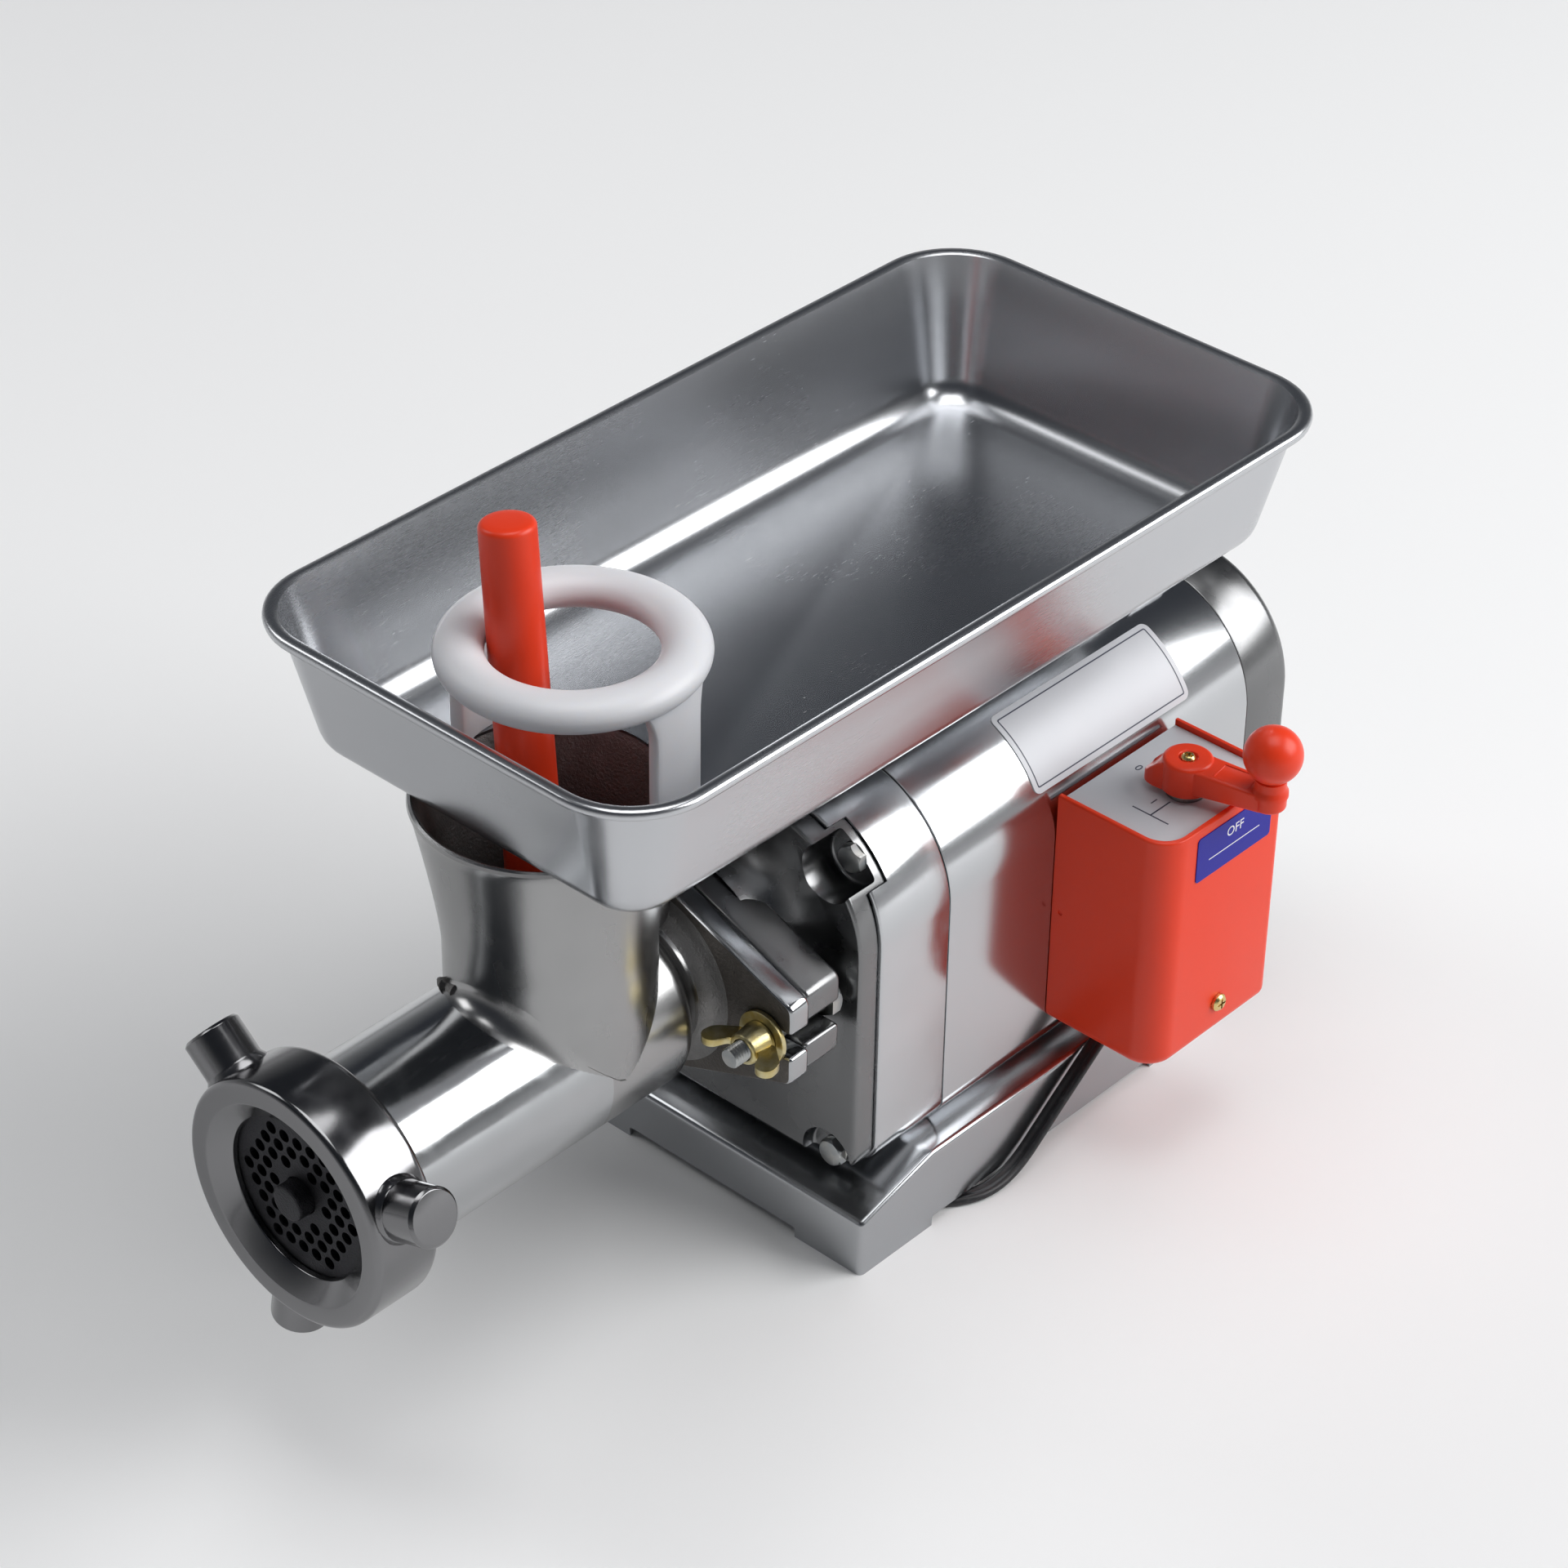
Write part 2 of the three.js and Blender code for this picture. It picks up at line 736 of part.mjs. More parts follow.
function winding() {
  const shoulder = windingWidth - windingSlope;
  return turnedY([
    [windingInner, 0],
    [windingOuter, 0],
    [windingOuter, shoulder],
    [windingOuter - 4, windingWidth],
    [windingInner + 3, windingWidth],
    [windingInner, shoulder],
  ], 20);
}

function rotorCore() {
  return ring(alongY, motorShaftRadius + seat, rotorRadius, stackFront, stackBack, 28);
}

// A straight-toothed wheel about the Y axis; one tooth points along +X before the turn.
function toothedWheel(teeth, moduleSize, width, turn) {
  const pitch = (teeth * moduleSize) / 2;
  const tip = pitch + moduleSize * 0.85;
  const root = pitch - moduleSize * 1.15;
  const step = (2 * Math.PI) / teeth;
  const halfAtPitch = step / 4 - backlash / 2 / pitch;
  const lean = Math.tan(degrees(20));
  const halfAtTip = halfAtPitch - ((tip - pitch) * lean) / pitch;
  const halfAtRoot = halfAtPitch + ((pitch - root) * lean) / pitch;
  const shape = new THREE.Shape();
  const corners = [];
  for (let tooth = 0; tooth < teeth; tooth += 1) {
    const middle = tooth * step + turn;
    corners.push([root, middle - halfAtRoot], [tip, middle - halfAtTip]);
    corners.push([tip, middle + halfAtTip], [root, middle + halfAtRoot]);
  }
  corners.forEach(([radius, angle], i) => {
    const x = radius * Math.cos(angle);
    const y = radius * Math.sin(angle);
    if (i === 0) {
      shape.moveTo(x, y);
    } else {
      shape.lineTo(x, y);
    }
  });
  return prismY(shape, 0, width);
}

const up = Math.PI / 2;
const fastGearFront = gearFront + slowGearWidth + gearStep;
const shaftFront = fastGearFront - pinionOverlap;
const rearBearingBack = rearBearingFront + bearingWidth;

// The motor shaft with its pinion cut on its front end. A gap between teeth faces the idler below.
function rotorShaft() {
  const pinionWidth = fastGearWidth + 2 * pinionOverlap;
  const pinion = toothedWheel(motorTeeth, fastModule, pinionWidth, -up + Math.PI / motorTeeth);
  const shaft = disc(alongY, motorShaftRadius, shaftFront, rearBearingBack + 1.5, 24);
  return joined(shaft, pinion.translate(0, shaftFront, 0));
}

function coolingFan() {
  const hub = disc(alongY, fanHubRadius, 0, fanWidth, 24);
  const blades = Array.from({ length: fanBlades }, (_, i) =>
    block(fanHubRadius - 2, fanRadius, 0, fanWidth, -0.8, 0.8).rotate([0, (360 / fanBlades) * i, 0]));
  const bore = disc(alongY, motorShaftRadius + seat, -past, fanWidth + past, 24);
  return cutBy(joined(hub, ...blades), bore);
}

// A tooth of the idler gear points up at the motor pinion.
function idlerGear() {
  const gear = toothedWheel(idlerTeeth, fastModule, fastGearWidth, up);
  const hub = disc(alongY, idlerHubRadius, fastGearWidth - past, shellFront - fastGearFront - seat, 24);
  const bore = disc(alongY, idlerPinRadius + running, -past, shellFront, 24);
  return cutBy(joined(gear, hub), bore);
}

// A tooth of the idler pinion points up at the output gear.
function idlerPinion() {
  const gear = toothedWheel(idlerPinionTeeth, slowModule, slowGearWidth, up);
  const hub = disc(alongY, pinionHubRadius, slowGearWidth - past, fastGearFront - gearFront - seat, 24);
  const bore = disc(alongY, idlerPinRadius + running, -past, shellFront, 24);
  return cutBy(joined(gear, hub), bore);
}

function outputGear() {
  const gear = toothedWheel(outputTeeth, slowModule, slowGearWidth, -up + Math.PI / outputTeeth);
  const bore = disc(alongY, outputShaftRadius + seat, -past, slowGearWidth + past, 28);
  const holes = [0, 60, 120, 180, 240, 300].map((angle) =>
    disc(alongY, 4.5, -past, slowGearWidth + past, 8).translate(25, 0, 0).rotate([0, angle, 0]));
  return cutBy(gear, bore, ...holes);
}

const outputShaftBack = gearFront + slowGearWidth + pinionOverlap;

function outputShaft() {
  const shaft = disc(alongY, outputShaftRadius, bushFront + seat, outputShaftBack, 28);
  const socket = squareY(driveSquare + 2 * seat, bushFront - past, bushFront + socketDepth);
  return cutBy(shaft, socket);
}

function outputBush() {
  return ring(alongY, outputShaftRadius + running, bushRadius, bushFront, bushBossBack, 28);
}

// --- Feed head ----------------------------------------------------------------------------

const collarBack = barrelFront + collarLength;

// The neck's outline and bore, from the barrel up to the flared mouth.
function neckProfile(straight, mouth, low, top) {
  const spread = mouth - straight;
  const rise = neckTop - neckStraightTop;
  return [
    [0, low],
    [straight, low],
    [straight, neckStraightTop],
    [straight + spread * 0.16, neckStraightTop + rise * 0.24],
    [straight + spread * 0.42, neckStraightTop + rise * 0.5],
    [straight + spread * 0.76, neckStraightTop + rise * 0.76],
    [mouth, neckTop - 3],
    [mouth, top],
    [0, top],
  ];
}

function headBody() {
  const barrel = turnedY([
    [0, barrelFront],
    [collarRadius, barrelFront],
    [collarRadius, collarBack],
    [barrelRadius, collarBack],
    [barrelRadius, barrelBack - 5],
    [barrelRadius - 4, barrelBack],
    [hubRadius, barrelBack + 4],
    [hubRadius, flangeFace - 1],
    [0, flangeFace - 1],
  ]).translate(0, 0, outputAxisZ);
  const neck = turnedZ(neckProfile(neckRadius, mouthRadius, outputAxisZ, neckTop)).translate(0, neckY, 0);
  const flange = clampFlange(flangeTipX, flangeFace - headFlangeThickness, flangeFace);
  const rib = block(-8, 8, 0, flangeFace - 1, outputAxisZ, outputAxisZ + barrelRadius);
  const lowRib = block(-8, 8, 0, flangeFace - 1, outputAxisZ - barrelRadius, outputAxisZ);
  const throat = turnedZ(neckProfile(neckBore, mouthBore, outputAxisZ, neckTop + past))
    .translate(0, neckY, 0);
  const bore = turnedY([
    [0, barrelFront - past],
    [plateRadius + seat, barrelFront - past],
    [plateRadius + seat, barrelFront + plateSeatDepth],
    [barrelBore, barrelFront + plateSeatDepth],
    [barrelBore, boreBack],
    [0, boreBack],
  ]).translate(0, 0, outputAxisZ);
  const shaftHole = disc(alongY, augerShaftRadius + running, 0, flangeFace + past, 32)
    .translate(0, 0, outputAxisZ);
  return cutBy(joined(barrel, neck, flange, rib, lowRib), throat, bore, shaftHole);
}

const plateBack = barrelFront + plateSeatDepth - seat;
const plateFront = plateBack - plateThickness;
const knifeFront = plateBack + seat;
const coreFront = knifeFront + knifeThickness + seat;
const thrustFront = boreBack - seat - thrustThickness;
const coreBack = thrustFront - seat;

// A helical flight made by bending a long bar around the shaft.
function augerFlight() {
  const stepsPerTurn = 12;
  const from = coreFront + flightThickness / 2 + 0.5;
  const to = coreBack - flightThickness / 2 - 4;
  const inner = augerFrontCore - 3;
  const steps = stepsPerTurn * augerTurns;
  const geometry = new THREE.BoxGeometry(1, 1, 1, steps, 1, 1);
  const place = geometry.attributes.position;
  for (let i = 0; i < place.count; i += 1) {
    const along = place.getX(i) + 0.5;
    const radius = place.getY(i) > 0 ? augerRadius : inner;
    const angle = (along * augerTurns + augerStart) * 2 * Math.PI;
    const y = from + (to - from) * along + place.getZ(i) * flightThickness;
    place.setXYZ(i, radius * Math.cos(angle), y, radius * Math.sin(angle));
  }
  return toSolid(geometry);
}

function auger() {
  const core = turnedY([
    [0, coreFront],
    [augerFrontCore, coreFront],
    [augerRearCore, coreBack - 3],
    [augerCollarRadius, coreBack - 3],
    [augerCollarRadius, coreBack],
    [augerShaftRadius, coreBack],
    [augerShaftRadius, flangeFace + 3],
    [0, flangeFace + 3],
  ], 18);
  const square = squareY(knifeSquare, knifeFront - seat / 2, coreFront + 2);
  const stud = disc(alongY, plateHubHole - running, plateFront - augerStudOut, knifeFront, 16);
  const tang = squareY(driveSquare, flangeFace + 1, bushFront + socketDepth - 2);
  return joined(core, augerFlight(), square, stud, tang);
}

function thrustWasher() {
  const back = thrustFront + thrustThickness;
  return ring(alongY, augerShaftRadius + running, augerCollarRadius, thrustFront, back, 32);
}

function knife() {
  const hub = disc(alongY, knifeHubRadius, 0, knifeThickness, 32);
  const blades = [0, 90, 180, 270].map((angle) =>
    block(knifeBladeFrom, knifeRadius, 0, knifeThickness, -knifeBladeHalf, knifeBladeHalf)
      .rotate([0, angle, 0]));
  const hole = squareY(knifeSquare + 2 * seat, -past, knifeThickness + past);
  return cutBy(joined(hub, ...blades), hole);
}

// Rows of holes on a triangular grid, left out near the hub and near the rim.
function plateHolePlaces() {
  const innerRow = plateHubHole + plateHubRing + plateHoleRadius;
  const outerRow = ringOpening - plateRimRing - plateHoleRadius;
  const rows = Math.ceil(plateRadius / plateHolePitch);
  const rowStep = plateHolePitch * Math.sin(degrees(60));
  const places = [];
  for (let row = -rows - 1; row <= rows + 1; row += 1) {
    for (let column = -rows - 1; column <= rows + 1; column += 1) {
      const x = (column + (row % 2 === 0 ? 0 : 0.5)) * plateHolePitch;
      const z = row * rowStep;
      const radius = Math.hypot(x, z);
      if (radius > innerRow && radius < outerRow) {
        places.push([x, z]);
      }
    }
  }
  return places;
}

function grindingPlate() {
  const body = ring(alongY, plateHubHole, plateRadius, plateFront, plateBack, 36);
  const holes = plateHolePlaces().map(([x, z]) =>
    disc(alongY, plateHoleRadius, plateFront - past, plateBack + past, 6).translate(x, 0, z));
  return cutBy(body, ...holes);
}

const ringBack = collarBack + 1.3;
const ringFront = ringBack - ringLength;
const ringLipBack = plateFront - seat;

function ringNut() {
  const body = turnedY([
    [ringConeRadius, ringFront],
    [ringRadius - 2, ringFront],
    [ringRadius, ringFront + 2],
    [ringRadius, ringBack - 3],
    [ringRadius - 3, ringBack],
    [collarRadius + running, ringBack],
    [collarRadius + running, ringLipBack],
    [ringOpening, ringLipBack],
    [ringOpening, ringLipBack - ringLipThickness],
  ], 36);
  const solidMiddle = disc(alongY, ringRadius - 3, ringFront - past, ringBack + past, 36);
  const lugs = Array.from({ length: lugCount }, (_, i) => {
    const angle = firstLugAngle + (360 / lugCount) * i;
    const lug = turned([
      [0, ringRadius - 6],
      [lugHalfWidth + lugEdge, ringRadius - 6],
      [lugHalfWidth, ringRadius + 3],
      [lugHalfWidth, lugEndRadius - lugEdge],
      [lugHalfWidth - lugEdge, lugEndRadius],
      [0, lugEndRadius],
    ], alongX, 12);
    return lug.rotate([0, -angle, 0]).translate(0, (ringFront + ringBack) / 2, 0);
  });
  return joined(body, ...lugs.map((lug) => lug.subtract(solidMiddle)));
}

// --- Clamps -------------------------------------------------------------------------------

const washerFront = flangeFace - headFlangeThickness - seat - washerThickness;
const wingBack = washerFront - seat;
const wingFront = wingBack - wingHubLength;
const clampHeadFront = snoutStart + seat;

function clampBolt() {
  const head = hexagonY(clampHeadSize, clampHeadFront, clampHeadFront + clampHeadHeight);
  const stud = disc(alongY, clampBoltRadius, wingFront - studOut, clampHeadFront + past, 20);
  return joined(head, stud);
}

function clampWasher() {
  const back = washerFront + washerThickness;
  return ring(alongY, clampBoltRadius + boltPlay, washerRadius, washerFront, back, 32);
}

function wingNut() {
  const hub = turnedY([
    [0, wingFront],
    [wingHubRadius, wingFront],
    [wingHubRadius + 1, wingBack],
    [0, wingBack],
  ], 24);
  const outline = new THREE.Shape();
  const half = wingSpan / 2;
  outline.moveTo(0, wingBack - 1);
  outline.lineTo(wingHubRadius + 1, wingBack - 1);
  outline.lineTo(half - 2, wingFront + 3);
  outline.quadraticCurveTo(half + 1, wingFront - 1, half - 1, wingFront - wingReach + 1);
  outline.quadraticCurveTo(half - 4, wingFront - wingReach - 1, half - 7, wingFront - wingReach + 2);
  outline.lineTo(wingHubRadius, wingFront + 2);
  outline.lineTo(0, wingFront + 2);
  const wing = prismZ(outline, -wingThickness / 2, wingThickness / 2, 3);
  const bore = disc(alongY, clampBoltRadius + running, wingFront - past, wingBack + past, 20);
  return cutBy(joined(hub, wing, wing.rotate([0, 180, 0])), bore);
}

// --- Tray, guard and plunger --------------------------------------------------------------

const trayHalfLength = trayLength / 2;
const trayY = trayFront + trayHalfLength;

// A tapered tub with rounded corners, whose corners tighten towards the floor.
function tub(shrink, low, high) {
  const topX = trayHalfWidth - trayLip - shrink;
  const topY = trayHalfLength - trayLip - shrink;
  const topRadius = trayRimRadius - trayLip - shrink;
  const bottomRadius = trayFloorRadius - shrink;
  const depth = high - low;
  const geometry = new THREE.ExtrudeGeometry(
    roundedRectangle(topX, topY, topRadius),
    { depth, bevelEnabled: false, curveSegments: 3 },
  );
  const place = geometry.attributes.position;
  for (let i = 0; i < place.count; i += 1) {
    const down = 1 - place.getZ(i) / depth;
    const radius = topRadius + (bottomRadius - topRadius) * down;
    const centreX = topX - trayWallLean * down - radius;
    const centreY = topY - trayWallLean * down - radius;
    const turnX = Math.abs(place.getX(i)) - (topX - topRadius);
    const turnY = Math.abs(place.getY(i)) - (topY - topRadius);
    const x = centreX + (turnX * radius) / topRadius;
    const y = centreY + (turnY * radius) / topRadius;
    place.setXYZ(i, x * Math.sign(place.getX(i)), y * Math.sign(place.getY(i)), low + place.getZ(i));
  }
  return toSolid(geometry).translate(0, trayY, 0);
}

function tray() {
  const lip = prismZ(
    roundedRectangle(trayHalfWidth, trayHalfLength, trayRimRadius),
    trayTop - trayLipThickness,
    trayTop,
  ).translate(0, trayY, 0);
  const outer = joined(tub(0, trayBottom, trayTop - 0.4), lip);
  const inner = tub(traySheet, trayBottom + traySheet, trayTop + past);
  const hole = disc(alongZ, trayHoleRadius, trayBottom - past, trayBottom + 4, 36)
    .translate(0, trayHoleY, 0);
  return cutBy(outer, inner, hole);
}

// A strap bent up from the shell to the underside of the tray, with feet that follow the shell.
function traySupport() {
  const top = trayBottom - seat;
  const back = supportY + supportDepth;
  const reach = supportHalfWidth + supportFoot;
  const outside = block(-supportHalfWidth, supportHalfWidth, supportY, back, housingTop - supportDrop, top);
  const inside = block(
    supportSheet - supportHalfWidth, supportHalfWidth - supportSheet,
    supportY - past, back + past,
    housingTop - supportDrop - past, top - supportSheet,
  );
  const footBlock = block(-reach, reach, supportY, back, housingTop - supportDrop, housingTop + 2);
  const between = block(
    -supportHalfWidth + supportSheet, supportHalfWidth - supportSheet,
    supportY - past, back + past,
    housingTop - supportDrop - past, housingTop + 3,
  );
  const feet = cutBy(footBlock, between).intersect(housingPrism(-seat - supportSheet, supportY, back));
  const shellRoom = housingPrism(-seat, supportY - past, back + past);
  return cutBy(joined(cutBy(outside, inside), feet), shellRoom);
}

const guardZ = trayBottom + traySheet + guardHeight;

function guard() {
  const count = 10;
  const section = Array.from({ length: count }, (_, i) => {
    const angle = (i / count) * 2 * Math.PI;
    return [guardRadius + guardHalfThickness * Math.cos(angle), guardHalfHeight * Math.sin(angle)];
  });
  const hoop = turnedZ(section, 28);
  const legOuter = guardRadius + guardHalfThickness - 2.5;
  const legs = [1, -1].map((side) => {
    const near = legOuter - guardLegThickness;
    const half = guardLegWidth / 2;
    const leg = block(near, legOuter, -half, half, seat - guardHeight, 0);
    return side > 0 ? leg : leg.rotate([0, 0, 180]);
  });
  return joined(hoop, ...legs);
}

function plunger() {
  return turnedZ([
    [0, -plungerLength],
    [plungerRadius - 1, -plungerLength],
    [plungerRadius, 1 - plungerLength],
    [plungerTopRadius, -plungerTopEdge],
    [plungerTopRadius - plungerTopEdge, 0],
    [0, 0],
  ], 24);
}

// --- Switch box ---------------------------------------------------------------------------

// The box's plan: square against the shell, round at its two outer corners.
function boxPlan(shrink) {
  const shape = new THREE.Shape();
  shape.moveTo(boxInner + shrink, boxFront + shrink);
  shape.lineTo(boxOuter - boxCorner, boxFront + shrink);
  shape.absarc(boxOuter - boxCorner, boxFront + boxCorner, boxCorner - shrink, 1.5 * Math.PI, 2 * Math.PI);
  shape.absarc(boxOuter - boxBackCorner, boxBack - boxBackCorner, boxBackCorner - shrink, 0, Math.PI / 2);
  shape.lineTo(boxInner + shrink, boxBack - shrink);
  return shape;
}

function switchBox() {
  const outer = prismZ(boxPlan(0), boxBottom, boxTop);
  const inner = prismZ(boxPlan(boxWall), boxBottom + boxWall, boxTop + past);
  const screwHole = disc(alongX, boxScrewRadius + boltPlay, boxOuter - boxWall - past, boxOuter + past, 12)
    .translate(0, boxFront + boxScrewBack, boxBottom + boxScrewRise);
  return cutBy(outer, inner, screwHole);
}

function topPlate() {
  const body = prismZ(boxPlan(boxWall + seat), topPlateZ, topPlateZ + topPlateThickness);
  const hole = disc(alongZ, drumRadius + running, topPlateZ - past, boxTop, 24).translate(knobX, knobY, 0);
  return cutBy(body, hole);
}

const switchBodyTop = topPlateZ - seat;
const switchBodyBottom = switchBodyTop - switchBodyHeight;

function switchBody() {
  const half = switchBodySize / 2;
  const x = boxInner + boxWall + seat + half + 2;
  const body = block(x - half, x + half, knobY - half, knobY + half, switchBodyBottom, switchBodyTop);
  const boreBottom = switchBodyTop - drumDepth - seat;
  const bore = disc(alongZ, drumRadius + running, boreBottom, switchBodyTop + past, 24)
    .translate(knobX, knobY, 0);
  return cutBy(body, bore);
}

function switchDrum() {
  return disc(alongZ, drumRadius, switchBodyTop - drumDepth, knobBottom - seat, 24);
}

// The lever: a round hub, a pointer that slopes down to the plate, and an arm with a ball on a short stem.
function switchHandle() {
  const top = knobBottom + knobHeight;
  const armTop = top - armStep;
  const hub = turnedZ([
    [0, knobBottom],
    [knobRadius, knobBottom],
    [knobRadius, top - knobEdge],
    [knobRadius - knobEdge, top],
    [0, top],
  ], 24);
  const pointerSide = polygon([
    [0, knobBottom],
    [-pointerReach, knobBottom],
    [-pointerReach, knobBottom + pointerTipHeight],
    [armStep - knobRadius, armTop],
    [0, armTop],
  ]);
  const pointerPlan = polygon([
    [0, -pointerHalfWidth],
    [0, pointerHalfWidth],
    [-pointerReach, pointerTipHalf],
    [-pointerReach, -pointerTipHalf],
  ]);
  const pointer = prismY(pointerSide, -pointerHalfWidth, pointerHalfWidth)
    .intersect(prismZ(pointerPlan, knobBottom - past, top));
  const armSide = polygon([
    [0, knobBottom + armStep],
    [armReach, armTop - armEndThickness],
    [armReach, armTop],
    [0, armTop],
  ]);
  const arm = prismY(armSide, -armWidth / 2, armWidth / 2);
  const end = disc(alongZ, armEndRadius, armTop - armEndThickness, armTop, 24).translate(armReach, 0, 0);
  const ballZ = knobBottom + ballRise;
  const stem = disc(alongZ, stemRadius, armTop - 1, ballZ, 20).translate(armReach, 0, 0);
  const ball = toSolid(new THREE.SphereGeometry(ballRadius, 16, 10).rotateX(Math.PI / 2))
    .translate(armReach, 0, ballZ);
  const screwSeat = disc(alongZ, knobScrewRadius + seat, top - knobScrewDepth, top + past, 20);
  return cutBy(joined(hub, pointer, arm, end, stem, ball), screwSeat).rotate([0, 0, armTurn]);
}

function handleScrew() {
  const top = knobBottom + knobHeight;
  const head = top + 1;
  const body = disc(alongZ, knobScrewRadius, top - knobScrewDepth + seat, head, 20);
  const slots = [0, 90].map((angle) =>
    block(
      -screwSlotHalf, screwSlotHalf,
      -screwSlotHalfWidth, screwSlotHalfWidth,
      head - screwSlotDepth, head + past,
    ).rotate([0, 0, angle]));
  return cutBy(body, ...slots);
}

function boxScrew() {
  const head = turned(
    [[0, seat], [boxScrewHead, seat], [boxScrewHead - 0.6, boxScrewOut - 0.4], [0, boxScrewOut]],
    alongX, 20,
  );
  const slots = [0, 90].map((angle) =>
    block(
      boxScrewOut - screwSlotDepth, boxScrewOut + past,
      -screwSlotHalf, screwSlotHalf,
      -screwSlotHalfWidth, screwSlotHalfWidth,
    ).rotate([angle, 0, 0]));
  return cutBy(joined(head, disc(alongX, boxScrewRadius, -4, 1, 12)), ...slots);
}

function runCapacitor() {
  const low = boxBottom + boxWall + seat;
  const body = disc(alongZ, capacitorRadius, low, low + capacitorHeight, 20);
  const inset = boxWall + seat + capacitorRadius;
  return body.translate(boxInner + inset, boxFront + inset, 0);
}

// --- Labels -------------------------------------------------------------------------------

function switchLabel() {
  const from = boxOuter + seat;
  const outline = roundedRectangle(switchLabelWidth / 2, switchLabelHeight / 2, switchLabelCorner);
  return prismX(outline, from, from + labelThickness, 2)
    .translate(0, boxFront + switchLabelBack, boxTop - switchLabelDrop);
}

// A plate bent over the shell's upper corner.
function shellLabel() {
  const inner = housingTopRadius + seat;
  const shape = new THREE.Shape();
  shape.absarc(0, 0, inner + labelThickness, degrees(shellLabelFrom), degrees(shellLabelTo), false);
  shape.absarc(0, 0, inner, degrees(shellLabelTo), degrees(shellLabelFrom), true);
  const centreX = housingHalfWidth - housingTopRadius;
  const centreZ = housingTop - housingTopRadius;
  const front = shellFront + shellLabelFront;
  return prismY(shape, front, front + shellLabelLength, 5).translate(centreX, 0, centreZ);
}

// --- Cord ---------------------------------------------------------------------------------

const slopeDirection = new THREE.Vector3(0, -Math.cos(degrees(cordSlope)), -Math.sin(degrees(cordSlope)));
const reliefTip = new THREE.Vector3(cordExitX, cordExitY, cordExitZ);

// A tapered sleeve that slants out under the box's floor.
function strainRelief() {
  const sleeve = turned([
    [0, 0],
    [reliefEnd, 0],
    [reliefStart, reliefLength],
    [0, reliefLength],
  ], slopeDirection.clone().negate(), 20);
  const boxRoom = block(boxInner, boxOuter, boxFront, boxBack, boxBottom - seat, boxTop);
  return cutBy(sleeve.translate(reliefTip.toArray()), boxRoom);
}

function cordRoute() {
  const floor = cordThickness / 2 + tableGap;
  const start = reliefTip.clone().addScaledVector(slopeDirection, seat);
  return new THREE.CatmullRomCurve3([
    start,
    new THREE.Vector3(79.6, 182, 33),
    new THREE.Vector3(79.6, 168, 22.7),
    new THREE.Vector3(79.6, 155, 13),
    new THREE.Vector3(79.6, 148, 8),
    new THREE.Vector3(79.5, 140, 4.1),
    new THREE.Vector3(79, 131, floor + 0.3),
    new THREE.Vector3(77, 122.5, floor),
    new THREE.Vector3(71, 113, floor),
    new THREE.Vector3(62, 107, floor),
    new THREE.Vector3(50, 104.5, floor),
    new THREE.Vector3(20, 104.5, floor),
    new THREE.Vector3(-30, 104.5, floor),
    new THREE.Vector3(-80, 104.5, floor),
    new THREE.Vector3(-125, 106, floor),
    new THREE.Vector3(-156, 111.5, floor),
    new THREE.Vector3(-181, 125, floor),
    new THREE.Vector3(-197, 148, floor),
    new THREE.Vector3(coilX - coilOuter - seat - cordWidth / 2, 172, floor),
    new THREE.Vector3(coilX - coilOuter - seat - cordWidth / 2, coilY, floor),
  ], false, 'centripetal');
}

// The flat twin cord's section: two round edges joined by straight faces.
function cordSection() {
  const radius = cordThickness / 2;
  const straight = cordWidth / 2 - radius;
  const shape = new THREE.Shape();
  shape.absarc(straight, 0, radius, -Math.PI / 2, Math.PI / 2);
  shape.absarc(-straight, 0, radius, Math.PI / 2, 1.5 * Math.PI);
  return shape;
}

function powerCord() {
  const geometry = new THREE.ExtrudeGeometry(cordSection(), {
    steps: 56,
    curveSegments: 2,
    bevelEnabled: false,
    extrudePath: cordRoute(),
  });
  return toSolid(geometry);
}

function cordCoil() {
  return ring(alongZ, coilInner, coilOuter, tableGap, tableGap + coilTurnsHigh * cordThickness, 24);
}

// The plug lies beside the coil with its blades along +X.
function plugBody() {
  const half = plugWidth / 2;
  const grip = block(0, plugLength, -half, half, -plugHeight / 2, plugHeight / 2);
  const tail = turned([[0, -16], [cordWidth / 2 + 0.6, -16], [7, 1], [0, 1]], alongX, 16);
  const holes = [1, -1].map((side) =>
    block(
      plugLength - 6, plugLength + past,
      (side * bladeSpacing) / 2 - bladeThickness / 2 - seat,
      (side * bladeSpacing) / 2 + bladeThickness / 2 + seat,
      -bladeWidth / 2 - seat, bladeWidth / 2 + seat,
    ));
  return cutBy(joined(grip, tail), ...holes);
}

function plugBlade() {
  return block(
    plugLength - 6 + seat, plugLength + bladeLength,
    -bladeThickness / 2, bladeThickness / 2,
    -bladeWidth / 2, bladeWidth / 2,
  );
}

// --- Assembly -----------------------------------------------------------------------------

